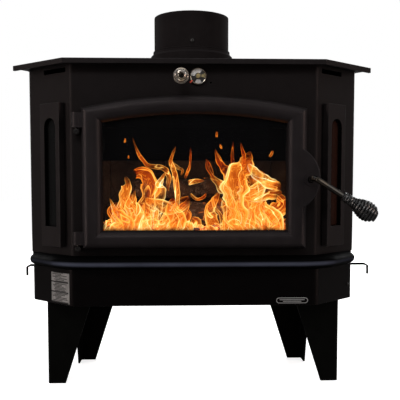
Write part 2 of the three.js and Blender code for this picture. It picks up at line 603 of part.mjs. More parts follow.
function makeHandle() {
  const start = new THREE.Vector3(LATCH.x, 52, LATCH.z);
  const clear = new THREE.Vector3(LATCH.x, HANDLE.straightY, LATCH.z);
  const elbow = new THREE.Vector3(LATCH.x, HANDLE.reachY, LATCH.z + HANDLE.rise);
  const intoBend = elbow.clone().addScaledVector(clear.clone().sub(elbow).normalize(), HANDLE.bend);
  const outOfBend = elbow.clone().addScaledVector(handleAim, HANDLE.bend);
  const end = elbow.clone().addScaledVector(handleAim, HANDLE.length - 22);
  const path = new THREE.CurvePath();
  path.add(new THREE.LineCurve3(start, clear));
  path.add(new THREE.LineCurve3(clear, intoBend));
  path.add(new THREE.QuadraticBezierCurve3(intoBend, elbow, outOfBend));
  path.add(new THREE.LineCurve3(outOfBend, end));
  const section = new THREE.Shape();
  section.absarc(0, 0, HANDLE.rod, 0, Math.PI * 2, false);
  const rod = new THREE.ExtrudeGeometry(section, { steps: 22, curveSegments: 5, extrudePath: path });
  add("door_handle_rod", rod, FINISH.rodSteel);

  const grip = gripBulb(HANDLE.gripLength, 11, 24, HANDLE.rod + 0.6, 5);
  const turn = new THREE.Quaternion().setFromUnitVectors(new THREE.Vector3(0, 1, 0), handleAim);
  const at = elbow.clone().addScaledVector(handleAim, HANDLE.gripStart);
  add("door_handle_grip", grip.applyQuaternion(turn).translate(at.x, at.y, at.z), FINISH.rodSteel);

  const camFront = BODY.front + BODY.sheet + 3;
  const cam = new THREE.Shape();
  cam.absarc(0, 0, 12, Math.PI * 0.5, Math.PI * 1.5, false);
  cam.lineTo(13, -6);
  cam.lineTo(13, 8);
  const camHole = bar("y", HANDLE.rod + 0.4, camFront - 5, camFront + 15, LATCH.x, LATCH.z, 16);
  const camPlate = upright(cam, camFront, camFront + 7, 8).translate(LATCH.x, 0, LATCH.z);
  add("latch_cam", cut(camPlate, camHole), FINISH.castIron);
  const strikeTop = LATCH.z - LATCH.notch - 1;
  const strikeFront = BODY.front + BODY.sheet + GAP;
  const strike = block(LATCH.x - 12, LATCH.x + 12, strikeFront, strikeFront + 12, strikeTop - 16, strikeTop);
  add("latch_strike", strike, FINISH.blackSteel);
}

// ---------------------------------------------------------------- bypass control
function makeBypass() {
  const { x, z, rod, gripRadius, gripFront, gripBack } = BYPASS;
  add("bypass_rod", bar("y", rod, gripFront + 14, 300, x, z, 14), FINISH.rodSteel);
  const length = gripBack - gripFront;
  const grip = gripBulb(length, 11, gripRadius, rod + 0.6, 4).rotateX(Math.PI).translate(x, gripBack, z);
  add("bypass_grip", grip, FINISH.nickel);
  const low = BAFFLE.high + 1.5;
  const plate = block(-DAMPER.half, DAMPER.half, DAMPER.front, DAMPER.back, low, low + 6);
  const post = block(x - 10, x + 10, DAMPER.front + 16, DAMPER.front + 24, low + 3, z + 8);
  const bore = bar("y", rod + GAP, DAMPER.front, DAMPER.front + 40, x, z, 14);
  add("bypass_damper", cut(join(plate, post), bore), FINISH.blackSteel);
}

// ---------------------------------------------------------------- thermometer
function makeThermometer() {
  const { x, z, radius, face } = DIAL;
  const plate = bar("y", radius, face, face + 3, x, z, 32);
  const probe = bar("y", 3, face + 2, 130, x, z, 12);
  add("thermometer_dial", join(plate, probe), FINISH.dialFace);
  const hub = new THREE.CylinderGeometry(5.5, 5.5, 5, 6).translate(0, -4, 0);
  const arm = 24;
  const pointAt = THREE.MathUtils.degToRad(218);
  const needle = block(-2, arm, -3.2, -1.8, -1.4, 1.4).rotateY(-pointAt);
  add("thermometer_pointer", join(hub, needle).translate(x, face, z), FINISH.needle);
}

// ---------------------------------------------------------------- primary air rods
function makeAirRods() {
  const { radius, y, z, inner, drop } = AIR_ROD;
  for (const [name, side] of SIDES) {
    const reach = side < 0 ? AIR_ROD.pushedIn : AIR_ROD.pulledOut;
    const bendSize = 7;
    const start = reach - AIR_ROD.pushedIn + inner;
    const path = new THREE.CurvePath();
    const corner = new THREE.Vector3(side * reach, y, z);
    const before = new THREE.Vector3(side * (reach - bendSize), y, z);
    const after = new THREE.Vector3(side * reach, y, z - bendSize);
    path.add(new THREE.LineCurve3(new THREE.Vector3(side * start, y, z), before));
    path.add(new THREE.QuadraticBezierCurve3(before, corner, after));
    path.add(new THREE.LineCurve3(after, new THREE.Vector3(side * reach, y, z - drop)));
    const section = new THREE.Shape();
    section.absarc(0, 0, radius, 0, Math.PI * 2, false);
    const rod = new THREE.ExtrudeGeometry(section, { steps: 18, curveSegments: 4, extrudePath: path });
    add(`air_rod_${name}`, rod, FINISH.rodSteel);
  }
}

// ---------------------------------------------------------------- rear blower
function makeBlower() {
  const { half, low, high, depth, wall, axisY, axisZ } = BLOWER;
  const front = BODY.back + GAP;
  const back = BODY.back + depth;
  const box = block(-half, half, front, back, low, high);
  const room = block(-half + wall, half - wall, front - 5, back - wall, low + wall, high - wall);
  const slots = [];
  for (let i = 0; i < GRILLE.slots; i++) {
    const z = GRILLE.first + i * GRILLE.pitch;
    slots.push(block(-GRILLE.half, GRILLE.half, back - 10, back + 10, z, z + GRILLE.height));
  }
  const glandHole = bar("x", 6, half - 10, half + 10, axisY - 20, low + 20, 12);
  add("blower_housing", cut(box, room, ...slots, glandHole), FINISH.blackSteel);
  const gland = join(
    bar("x", 10, half + GAP, half + 13, axisY - 20, low + 20, 12),
    bar("x", 5.5, half - 8, half + 1, axisY - 20, low + 20, 12),
  );
  add("cord_gland", gland, FINISH.rope);

  const motor = join(
    bar("x", MOTOR.radius, MOTOR.left, MOTOR.right, axisY, axisZ, 20),
    bar("x", MOTOR.shaft, MOTOR.right - 1, MOTOR.shaftEnd, axisY, axisZ, 10),
    block(MOTOR.left + 18, MOTOR.right - 16, axisY - 10, axisY + 10, low + wall + GAP, axisZ),
  );
  add("blower_motor", motor, FINISH.blackSteel);

  const blades = [];
  for (let i = 0; i < WHEEL.blades; i++) {
    const blade = new THREE.BoxGeometry(2 * WHEEL.half - 2, WHEEL.bladeWall, WHEEL.bladeDepth);
    blade.translate(0, 0, WHEEL.radius - WHEEL.bladeDepth / 2);
    blades.push(blade.rotateX((i / WHEEL.blades) * Math.PI * 2));
  }
  const inner = WHEEL.half - WHEEL.disc;
  const endDisc = bar("x", WHEEL.radius, -WHEEL.half, -inner, 0, 0, 24);
  const ring = cut(
    bar("x", WHEEL.radius, inner, WHEEL.half, 0, 0, 24),
    bar("x", WHEEL.radius - WHEEL.bladeDepth, inner - 7, WHEEL.half + 10, 0, 0, 24),
  );
  const sleeve = bar("x", 2 * WHEEL.bore, -WHEEL.half, -WHEEL.half + 20, 0, 0, 14);
  const wheel = join(endDisc, ring, sleeve, ...blades);
  const shaftHole = bar("x", WHEEL.bore, -90, 90, 0, 0, 12);
  add("blower_wheel", cut(wheel, shaftHole).translate(WHEEL.x, axisY, axisZ), FINISH.nickel);
}

function makeRatingPlate() {
  const along = 41;
  const skirtCant = Math.atan2(SKIRT.cantY - SKIRT.front, SKIRT.sideHalf - SKIRT.frontHalf);
  const plate = block(-34, 34, -1.3, -GAP, 211, 284);
  plate.translate(-along, 0, 0).rotateZ(-skirtCant).translate(-SKIRT.frontHalf, SKIRT.front, 0);
  add("rating_plate", plate, FINISH.label);
}

makeTopPlate();
makeFlue();
makeFaceplate();
makeSideAndRear();
makeShelf();
makeSkirt();
makeLegs();
makeFirebox();
makeLining();
makeFuel();
makeUpperFirebox();
makeWindows();
makeDoorFrame();
makeDoorGlass();
makeHinges();
makeHandle();
makeBypass();
makeThermometer();
makeAirRods();
makeBlower();
makeRatingPlate();

// The origin is on the floor under the middle of the whole object's box.
const extent = new THREE.Box3().setFromObject(stove);
const middle = extent.getCenter(new THREE.Vector3());
stove.position.set(-middle.x, -middle.y, -extent.min.z);

export default stove;
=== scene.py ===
import math
import random

import bmesh
import bpy
import numpy as np
from mathutils import Matrix, Vector, noise


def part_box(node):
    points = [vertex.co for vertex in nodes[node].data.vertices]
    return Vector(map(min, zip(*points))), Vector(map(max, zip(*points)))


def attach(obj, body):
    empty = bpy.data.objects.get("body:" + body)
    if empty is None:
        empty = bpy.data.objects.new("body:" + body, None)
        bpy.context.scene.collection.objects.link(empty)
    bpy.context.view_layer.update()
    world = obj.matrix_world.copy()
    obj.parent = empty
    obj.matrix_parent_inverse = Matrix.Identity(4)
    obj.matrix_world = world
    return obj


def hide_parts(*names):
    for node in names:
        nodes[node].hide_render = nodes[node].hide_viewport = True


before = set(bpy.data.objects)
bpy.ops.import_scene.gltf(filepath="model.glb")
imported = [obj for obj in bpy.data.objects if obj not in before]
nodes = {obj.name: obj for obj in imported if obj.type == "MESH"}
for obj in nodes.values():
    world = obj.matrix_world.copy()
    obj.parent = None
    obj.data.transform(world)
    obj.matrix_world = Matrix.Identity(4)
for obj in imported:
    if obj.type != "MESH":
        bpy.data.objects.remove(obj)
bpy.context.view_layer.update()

UP = Vector((0, 0, 1))
FORWARD = Vector((0, -1, 0))
BACKWARD = Vector((0, 1, 0))

# The camera stands where the photograph was taken from: place in metres, angles in degrees.
CAMERA = {"place": (-0.0511, -1.8381, 0.5054), "turn": 2.06, "down": 4.04, "lens": 61.3, "shift": 0.069}


# ---------------------------------------------------------------- material building blocks
class Recipe:
    """One node material. Most methods add a node and return the socket that carries its result."""

    def __init__(self, name):
        self.material = bpy.data.materials.new(name)
        self.material.use_nodes = True
        self.tree = self.material.node_tree
        self.shader = self.tree.nodes["Principled BSDF"]
        self.place = self.node("ShaderNodeTexCoord").outputs["Object"]

    def node(self, kind, **settings):
        made = self.tree.nodes.new(kind)
        for key, value in settings.items():
            setattr(made, key, value)
        return made

    def feed(self, value, socket):
        if isinstance(value, bpy.types.NodeSocket):
            self.tree.links.new(value, socket)
        elif isinstance(value, tuple) and len(value) == 3 and socket.type == "RGBA":
            socket.default_value = (*value, 1)
        else:
            socket.default_value = value

    def set(self, **inputs):
        """Feeds the shader: a plain value goes on its own socket."""
        for name, value in inputs.items():
            self.feed(value, self.shader.inputs[name.replace("_", " ")])

    def math(self, operation, first, second=0.0):
        made = self.node("ShaderNodeMath", operation=operation)
        self.feed(first, made.inputs[0])
        self.feed(second, made.inputs[1])
        return made.outputs[0]

    def times(self, first, second):
        return self.math("MULTIPLY", first, second)

    def plus(self, first, second):
        return self.math("ADD", first, second)

    def minus(self, first, second):
        return self.math("SUBTRACT", first, second)

    def spread(self, value, low, high, new_low=0.0, new_high=1.0, smooth=False):
        """Maps low..high to new_low..new_high, held at the ends."""
        made = self.node("ShaderNodeMapRange")
        made.interpolation_type = "SMOOTHSTEP" if smooth else "LINEAR"
        for number, item in enumerate((value, low, high, new_low, new_high)):
            self.feed(item, made.inputs[number])
        return made.outputs[0]

    def scaled(self, scale, vector=None):
        made = self.node("ShaderNodeMapping")
        self.feed(vector or self.place, made.inputs["Vector"])
        made.inputs["Scale"].default_value = scale
        return made.outputs[0]

    def noise(self, scale, detail=3.0, place=None, rough=0.5, distortion=0.0):
        made = self.node("ShaderNodeTexNoise")
        self.feed(place or self.place, made.inputs["Vector"])
        made.inputs["Scale"].default_value = scale
        made.inputs["Detail"].default_value = detail
        made.inputs["Roughness"].default_value = rough
        made.inputs["Distortion"].default_value = distortion
        return made.outputs["Fac"]

    def cells(self, scale, place=None, feature="F1"):
        made = self.node("ShaderNodeTexVoronoi", feature=feature)
        self.feed(place or self.place, made.inputs["Vector"])
        made.inputs["Scale"].default_value = scale
        return made.outputs["Distance"]

    def mix(self, factor, first, second):
        made = self.node("ShaderNodeMix", data_type="RGBA")
        self.feed(factor, made.inputs[0])
        self.feed(first, made.inputs[6])
        self.feed(second, made.inputs[7])
        return made.outputs[2]

    def patches(self, clouds, first, second):
        """One colour in the hollows of a noise and the other on its heights."""
        return self.mix(self.spread(clouds, 0.3, 0.7), first, second)

    def dullness(self, value, low, high, smooth, dull):
        """Roughness from smooth to dull as the value goes from low to high."""
        self.set(Roughness=self.spread(value, low, high, smooth, dull))

    def relief(self, height, strength, distance):
        self.set(Normal=self.bump(height, strength, distance))

    def ramp(self, factor, stops):
        """Colours by factor: stops are (position, (r, g, b)) pairs."""
        made = self.node("ShaderNodeValToRGB")
        elements = made.color_ramp.elements
        while len(elements) < len(stops):
            elements.new(0.5)
        for element, (position, colour) in zip(elements, stops):
            element.position = position
            element.color = (*colour, 1)
        self.feed(factor, made.inputs[0])
        return made.outputs[0]

    def axes(self, vector=None):
        made = self.node("ShaderNodeSeparateXYZ")
        self.feed(vector or self.place, made.inputs[0])
        return made.outputs[0], made.outputs[1], made.outputs[2]

    def over(self, first, second):
        return self.math("GREATER_THAN", first, second)

    def under(self, first, second):
        return self.math("LESS_THAN", first, second)

    def distance(self, first, second):
        return self.math("SQRT", self.plus(self.times(first, first), self.times(second, second)))

    def normal(self):
        return self.node("ShaderNodeNewGeometry").outputs["Normal"]

    def upward(self):
        """1 where the surface faces straight up, 0 on walls and below."""
        return self.spread(self.axes(self.normal())[2], 0.6, 0.98)

    def edges(self, radius):
        """About 1 along sharp outer edges and 0 on flat ground, from how far rounding turns the normal."""
        rounded = self.node("ShaderNodeBevel", samples=4)
        rounded.inputs["Radius"].default_value = radius
        plain = self.normal()
        dot = self.node("ShaderNodeVectorMath", operation="DOT_PRODUCT")
        self.feed(rounded.outputs[0], dot.inputs[0])
        self.feed(plain, dot.inputs[1])
        return self.spread(dot.outputs["Value"], 0.985, 0.86)

    def attribute(self, name, output="Fac"):
        return self.node("ShaderNodeAttribute", attribute_name=name).outputs[output]

    def bump(self, height, strength, distance, under=None):
        made = self.node("ShaderNodeBump")
        made.inputs["Strength"].default_value = strength
        made.inputs["Distance"].default_value = distance
        self.feed(height, made.inputs["Height"])
        if under is not None:
            self.feed(under, made.inputs["Normal"])
        return made.outputs[0]


# ---------------------------------------------------------------- finishes
def stove_paint(name, dark, light, roughness, specular, grain=650, grain_depth=0.15, dust=0.012,
                edge_wear_and_highlight=0.025, waviness=0.10, sheen_colour=(1.0, 0.86, 0.87), painted_highlight=None):
    """Heat-proof matt paint on steel or cast iron: fine grain, faint patches, lighter edges (partly rubbed
    wear, partly a painted edge highlight), ash dust on top.

    When a painted highlight colour is given, it lies in streaks on the forward-facing middle of a rounded
    nose: a painted highlight.
    """
    recipe = Recipe(name)
    patches = recipe.noise(7, detail=5, rough=0.6)
    clouds = recipe.noise(38, detail=4)
    base = recipe.patches(patches, dark, light)
    base = recipe.mix(recipe.spread(clouds, 0.42, 0.75, 0, 0.35), base, tuple(1.5 * part for part in light))
    # Sharp edges are lightened: partly rubbed wear, partly a painted highlight along them.
    worn_patches = recipe.spread(recipe.noise(70, 3), 0.35, 0.7, 0, 0.8)
    rubbed = recipe.times(recipe.edges(0.0022), worn_patches)
    base = recipe.mix(rubbed, base, (edge_wear_and_highlight, edge_wear_and_highlight * 0.96, edge_wear_and_highlight * 0.93))
    drifts = recipe.spread(recipe.noise(16, 6, rough=0.7), 0.3, 0.8)
    settled = recipe.times(recipe.upward(), drifts)
    base = recipe.mix(recipe.times(settled, 0.6), base, (dust, dust * 0.95, dust * 0.9))
    # Painted highlight: a pale band on the front of a rounded nose, picked by the surface's slope and
    # facing.
    if painted_highlight:
        _, facing_back, facing_up = recipe.axes(recipe.normal())
        level = recipe.times(recipe.spread(facing_up, -0.72, -0.30), recipe.spread(facing_up, 0.42, 0.02))
        ahead = recipe.spread(facing_back, -0.52, -0.90)
        streaks = recipe.noise(11, 4, place=recipe.scaled((1.0, 3.0, 3.0)))
        streaks = recipe.spread(streaks, 0.3, 0.7, 0.7, 1.0)
        painted_nose_highlight = recipe.times(recipe.times(level, ahead), streaks)
        base = recipe.mix(painted_nose_highlight, base, painted_highlight)
    dull = recipe.spread(clouds, 0.2, 0.8, roughness - 0.07, roughness + 0.08)
    dull = recipe.plus(dull, recipe.times(settled, 0.15))
    dull = recipe.minus(dull, recipe.times(rubbed, 0.15))
    sheet = recipe.bump(recipe.noise(9, 2), waviness, 0.004)
    skin = recipe.bump(recipe.noise(grain, 3, rough=0.6), grain_depth, 0.0005, under=sheet)
    recipe.set(Base_Color=base, Roughness=dull, Normal=skin)
    recipe.set(Specular_IOR_Level=specular, Specular_Tint=sheen_colour)
    return recipe.material


def heat_tinted_steel():
    """Bare steel rod browned by heat, with fine scratches along it."""
    recipe = Recipe("heat_tinted_steel")
    tint = recipe.noise(24, 4)
    colour = recipe.ramp(recipe.spread(tint, 0.3, 0.7), [
        (0.0, (0.026, 0.027, 0.028)),
        (0.45, (0.044, 0.040, 0.036)),
        (0.75, (0.062, 0.048, 0.036)),
        (1.0, (0.034, 0.036, 0.038)),
    ])
    scratches = recipe.noise(300, 4, place=recipe.scaled((0.25, 1.0, 1.0)))
    recipe.set(Base_Color=colour, Metallic=0.95)
    recipe.dullness(scratches, 0.3, 0.7, 0.09, 0.20)
    recipe.relief(scratches, 0.2, 0.0003)
    return recipe.material


def black_wire():
    """Black-finished spring wire with slightly brighter rubbed patches."""
    recipe = Recipe("black_wire")
    rub = recipe.noise(90, 4)
    colour = recipe.mix(recipe.spread(rub, 0.45, 0.8), (0.0008, 0.0008, 0.0009), (0.003, 0.003, 0.003))
    recipe.set(Base_Color=colour, Specular_IOR_Level=0.80)
    recipe.dullness(rub, 0.3, 0.8, 0.30, 0.24)
    recipe.relief(recipe.noise(600, 3), 0.06, 0.0002)
    return recipe.material


def nickel_wire():
    """Bright nickel-plated wire with a warm cast in places."""
    recipe = Recipe("nickel_wire")
    patches = recipe.noise(60, 3)
    colour = recipe.mix(recipe.spread(patches, 0.35, 0.7), (0.50, 0.46, 0.42), (0.34, 0.26, 0.17))
    recipe.set(Base_Color=colour, Metallic=0.8)
    recipe.dullness(patches, 0.2, 0.8, 0.10, 0.18)
    recipe.relief(recipe.noise(500, 2), 0.08, 0.0002)
    return recipe.material


def zinc_steel():
    """Plated fastener steel, cloudy, with rubbed edges."""
    recipe = Recipe("zinc_steel")
    clouds = recipe.noise(120, 4)
    colour = recipe.patches(clouds, (0.030, 0.029, 0.028), (0.075, 0.072, 0.068))
    recipe.set(Base_Color=colour, Metallic=0.7)
    recipe.dullness(clouds, 0.2, 0.8, 0.35, 0.6)
    recipe.relief(clouds, 0.15, 0.0003)
    return recipe.material


def viewing_glass(name, tint, stain, box, margin, clearness=0.90):
    """Clear ceramic glass with a brown smoke stain creeping in from its edges."""
    recipe = Recipe(name)
    low, high = box
    across, _, height = recipe.axes()
    to_side = recipe.math("MINIMUM", recipe.minus(across, low.x), recipe.minus(high.x, across))
    to_end = recipe.math("MINIMUM", recipe.minus(height, low.z), recipe.minus(high.z, height))
    to_edge = recipe.math("MINIMUM", to_side, to_end)
    wander = recipe.spread(recipe.noise(22, 5), 0.2, 0.8, -0.6 * margin, 0.6 * margin)
    stained = recipe.spread(recipe.plus(to_edge, wander), 0.0, margin, 1.0, 0.0, smooth=True)
    smears = recipe.noise(14, 4, place=recipe.scaled((1.0, 1.0, 0.3)))
    smear = recipe.spread(smears, 0.4, 0.8, 0.0, 0.04)
    recipe.set(Base_Color=recipe.mix(stained, tint, (0.008, 0.005, 0.004)), Roughness=0.05)
    recipe.set(Alpha=recipe.plus(smear, recipe.spread(stained, 0.0, 1.0, 1 - clearness, stain)))
    recipe.set(Normal=recipe.bump(recipe.noise(5, 1), 0.02, 0.002), Specular_IOR_Level=0.07)
    return recipe.material


def rope_seal():
    """Knitted ceramic-fibre rope: two crossing sets of strands, darker between them as painted shade in the
    creases.
    """
    recipe = Recipe("rope_seal")
    strands = []
    for slant in (1, -1):
        wave = recipe.node("ShaderNodeTexWave", wave_type="BANDS", bands_direction="DIAGONAL")
        turned = recipe.scaled((1.0, 0.0, float(slant)))
        recipe.feed(turned, wave.inputs["Vector"])
        wave.inputs["Scale"].default_value = 130
        wave.inputs["Distortion"].default_value = 0.6
        strands.append(wave.outputs["Fac"])
    knit = recipe.math("MAXIMUM", *strands)
    fuzz = recipe.noise(900, 4)
    # Between the strands the colour is darker: painted shade in the creases of the knit.
    colour = recipe.mix(recipe.spread(knit, 0.4, 1.0), (0.018, 0.016, 0.014), (0.085, 0.08, 0.072))
    recipe.set(Base_Color=recipe.mix(recipe.spread(fuzz, 0.5, 0.8, 0, 0.5), colour, (0.12, 0.11, 0.10)))
    recipe.dullness(fuzz, 0.2, 0.8, 0.85, 1.0)
    recipe.relief(recipe.plus(knit, recipe.times(fuzz, 0.3)), 0.7, 0.0015)
    return recipe.material


def firebrick():
    """Porous tan firebrick, blackened by soot from the fire upwards, with pits and fine cracks that are
    darkened as painted shade.
    """
    recipe = Recipe("firebrick")
    height = recipe.axes()[2]
    grains = recipe.noise(260, 5, rough=0.7)
    patches = recipe.noise(11, 5)
    pits = recipe.spread(recipe.cells(150), 0.05, 0.28, 1.0, 0.0)
    cracks = recipe.spread(recipe.cells(13, feature="DISTANCE_TO_EDGE"), 0.0, 0.012, 1.0, 0.0)
    clay = recipe.patches(grains, (0.20, 0.160, 0.135), (0.33, 0.27, 0.225))
    soot_line = recipe.plus(height, recipe.spread(patches, 0.2, 0.8, -0.10, 0.10))
    soot = recipe.spread(soot_line, 0.40, 0.62, 0.45, 0.92, smooth=True)
    colour = recipe.mix(soot, clay, (0.016, 0.0145, 0.0150))
    # Cracks and pits are darkened: painted shade in them.
    colour = recipe.mix(recipe.times(cracks, 0.7), colour, (0.008, 0.006, 0.005))
    recipe.set(Base_Color=recipe.mix(recipe.times(pits, 0.5), colour, (0.015, 0.012, 0.010)))
    recipe.set(Roughness=recipe.spread(grains, 0.2, 0.8, 0.85, 1.0), Specular_IOR_Level=0.2)
    coarse = recipe.bump(recipe.minus(grains, recipe.plus(pits, cracks)), 0.6, 0.0012)
    recipe.set(Normal=coarse)
    return recipe.material


def honeycomb():
    """Ceramic honeycomb of the combustor: square cells seen from below and above, with their openings
    painted near black as painted shade inside the cells.
    """
    recipe = Recipe("honeycomb")
    cell_size = 0.0034
    x, y, _ = recipe.axes()
    walls = []
    for along in (x, y):
        cell = recipe.math("FRACT", recipe.times(along, 1 / cell_size))
        walls.append(recipe.under(cell, 0.26))
    wall = recipe.math("MAXIMUM", *walls)
    warm = recipe.noise(30, 3)
    clay = recipe.patches(warm, (0.30, 0.24, 0.18), (0.17, 0.12, 0.09))
    # The cell openings are near black: painted shade inside the cells.
    recipe.set(Base_Color=recipe.mix(wall, (0.010, 0.008, 0.006), clay), Roughness=0.95)
    recipe.relief(wall, 0.8, 0.002)
    return recipe.material


def charred_wood():
    """Burning log: black alligator char with ash-grey ridges and embers glowing in its cracks."""
    recipe = Recipe("charred_wood")
    grain = recipe.noise(34, 5, place=recipe.scaled((0.35, 1.0, 1.0)), distortion=0.6)
    plates = recipe.cells(46, feature="DISTANCE_TO_EDGE", place=recipe.scaled((0.6, 1, 1)))
    crack = recipe.spread(plates, 0.0, 0.10, 1.0, 0.0, smooth=True)
    ash = recipe.spread(recipe.noise(60, 5, rough=0.7), 0.50, 0.72)
    char = recipe.patches(grain, (0.008, 0.006, 0.005), (0.045, 0.026, 0.016))
    char = recipe.mix(recipe.times(ash, 0.5), char, (0.17, 0.155, 0.14))
    live = recipe.spread(recipe.noise(17, 3), 0.54, 0.72)
    glow = recipe.times(crack, live)
    recipe.set(Base_Color=char, Roughness=0.95, Specular_IOR_Level=0.2)
    recipe.set(Emission_Color=recipe.ramp(glow, [(0.0, (0.4, 0.02, 0.0)), (1.0, (1.0, 0.32, 0.04))]))
    recipe.set(Emission_Strength=recipe.times(glow, 1.2))
    relief = recipe.minus(grain, recipe.times(crack, 0.8))
    recipe.relief(relief, 0.8, 0.003)
    return recipe.material


def ember_glow():
    """Coals: grey ash outside, orange heat where the noise says they are alive."""
    recipe = Recipe("ember_glow")
    ash = recipe.noise(120, 5, rough=0.7)
    heat = recipe.plus(recipe.noise(26, 4), recipe.times(recipe.noise(110, 3), 0.35))
    live = recipe.spread(heat, 0.60, 0.86, smooth=True)
    colour = recipe.mix(recipe.spread(ash, 0.35, 0.65), (0.014, 0.011, 0.010), (0.20, 0.18, 0.165))
    recipe.set(Base_Color=colour, Roughness=0.97, Specular_IOR_Level=0.1)
    recipe.set(Emission_Color=recipe.ramp(live, [
        (0.0, (0.25, 0.01, 0.0)),
        (0.45, (1.0, 0.14, 0.01)),
        (1.0, (1.0, 0.55, 0.12)),
    ]))
    recipe.set(Emission_Strength=recipe.times(live, 3.0))
    recipe.relief(ash, 0.7, 0.002)
    return recipe.material


def flame_glow():
    """Flame sheet: clear orange body with hollows, pale threads along the flow, bright rims, ragged tips."""
    recipe = Recipe("flame_glow")
    along = recipe.attribute("along")
    rim = recipe.attribute("rim")
    warmth = recipe.attribute("warmth")
    flow = recipe.attribute("flow", "Vector")
    stream = recipe.scaled((1.0, 0.28, 1.0), flow)
    folds = recipe.noise(34, 2, place=stream, rough=0.4, distortion=0.9)
    from_fold = recipe.math("ABSOLUTE", recipe.minus(folds, 0.5))
    fold = recipe.spread(from_fold, 0.0, 0.024, 1.0, 0.0, smooth=True)
    wisps = recipe.noise(85, 2, place=stream, distortion=1.5)
    from_wisp = recipe.math("ABSOLUTE", recipe.minus(wisps, 0.5))
    thread = recipe.spread(from_wisp, 0.0, 0.040, 0.55, 0.0)
    outline = recipe.times(recipe.spread(rim, 0.62, 0.92), recipe.spread(rim, 1.0, 0.95))
    lines = recipe.math("MAXIMUM", recipe.math("MAXIMUM", fold, thread), recipe.times(outline, 0.85))
    hollows = recipe.noise(24, 3, place=recipe.scaled((1.0, 0.6, 1.0), flow))
    hollow = recipe.spread(hollows, 0.46, 0.66, smooth=True)
    cooling = recipe.spread(along, 0.35, 1.0, 0.0, 0.20)
    body = recipe.spread(recipe.noise(20, 2, place=flow), 0.3, 0.7, 0.16, 0.50)
    heat = recipe.plus(body, recipe.times(lines, 0.52))
    heat = recipe.plus(recipe.minus(heat, cooling), warmth)
    recipe.set(Emission_Color=recipe.ramp(heat, [
        (0.0, (0.30, 0.020, 0.001)),
        (0.18, (0.58, 0.070, 0.003)),
        (0.38, (0.86, 0.190, 0.010)),
        (0.58, (0.98, 0.340, 0.040)),
        (0.78, (1.0, 0.56, 0.130)),
        (1.0, (1.0, 0.82, 0.42)),
    ]))
    footing = recipe.spread(recipe.axes()[2], FLAME["floor"] + 0.004, FLAME["floor"] + 0.024, 0.25, 1.0)
    recipe.set(Emission_Strength=recipe.times(footing, recipe.spread(heat, 0.0, 1.0, 1.5, 2.3)))
    tears = recipe.spread(recipe.noise(40, 3, place=flow), 0.2, 0.8, -0.16, 0.16)
    torn = recipe.plus(along, tears)
    ends = recipe.times(recipe.spread(torn, 0.78, 1.0, 1.0, 0.0), recipe.spread(torn, -0.06, 0.14))
    present = recipe.times(ends, recipe.spread(rim, 0.92, 1.0, 1.0, 0.0))
    clear = recipe.spread(hollow, 0.0, 1.0, 0.58, 0.05)
    solid = recipe.plus(clear, recipe.times(lines, 0.42))
    recipe.set(Base_Color=(0.0, 0.0, 0.0), Roughness=1.0, Specular_IOR_Level=0.0)
    recipe.set(Alpha=recipe.times(solid, present))
    return recipe.material


def plain_label(box):
    """A rating plate with ruled bars of uneven length in place of any print."""
    recipe = Recipe("plain_label")
    low, high = box
    x, _, height = recipe.axes()
    rows = 22.0
    rows_in_block = 7.3
    row = recipe.spread(height, low.z, high.z, 0.0, rows)
    column = recipe.spread(x, low.x, high.x)
    number = recipe.math("FLOOR", row)
    inside_row = recipe.math("FRACT", row)
    ragged = recipe.node("ShaderNodeTexWhiteNoise", noise_dimensions="1D")
    recipe.feed(number, ragged.inputs["W"])
    start = recipe.plus(0.06, recipe.times(ragged.outputs["Value"], 0.18))
    end = recipe.plus(0.55, recipe.times(ragged.outputs["Value"], 0.38))
    wide = recipe.times(recipe.over(column, start), recipe.under(column, end))
    bar = recipe.times(recipe.over(inside_row, 0.45), wide)
    inside_block = recipe.math("FRACT", recipe.times(row, 1 / rows_in_block))
    block = recipe.times(recipe.under(inside_block, 0.14), recipe.under(column, 0.94))
    ink = recipe.math("MAXIMUM", bar, block)
    clouds = recipe.noise(80, 3)
    metal = recipe.patches(clouds, (0.22, 0.21, 0.20), (0.34, 0.33, 0.32))
    recipe.set(Base_Color=recipe.mix(ink, metal, (0.015, 0.014, 0.014)), Metallic=0.3)
    recipe.dullness(clouds, 0.2, 0.8, 0.4, 0.6)
    recipe.relief(ink, 0.1, 0.0002)
    return recipe.material


def brushed_badge():
    """Satin metal rim and bars of the blank badge."""
    recipe = Recipe("brushed_badge")
    lines = recipe.noise(900, 3, place=recipe.scaled((0.04, 1.0, 1.0)))
    recipe.set(Base_Color=recipe.mix(lines, (0.62, 0.61, 0.60), (0.85, 0.84, 0.83)), Metallic=0.9)
    recipe.dullness(lines, 0.3, 0.7, 0.25, 0.45)
    recipe.relief(lines, 0.15, 0.0002)
    return recipe.material


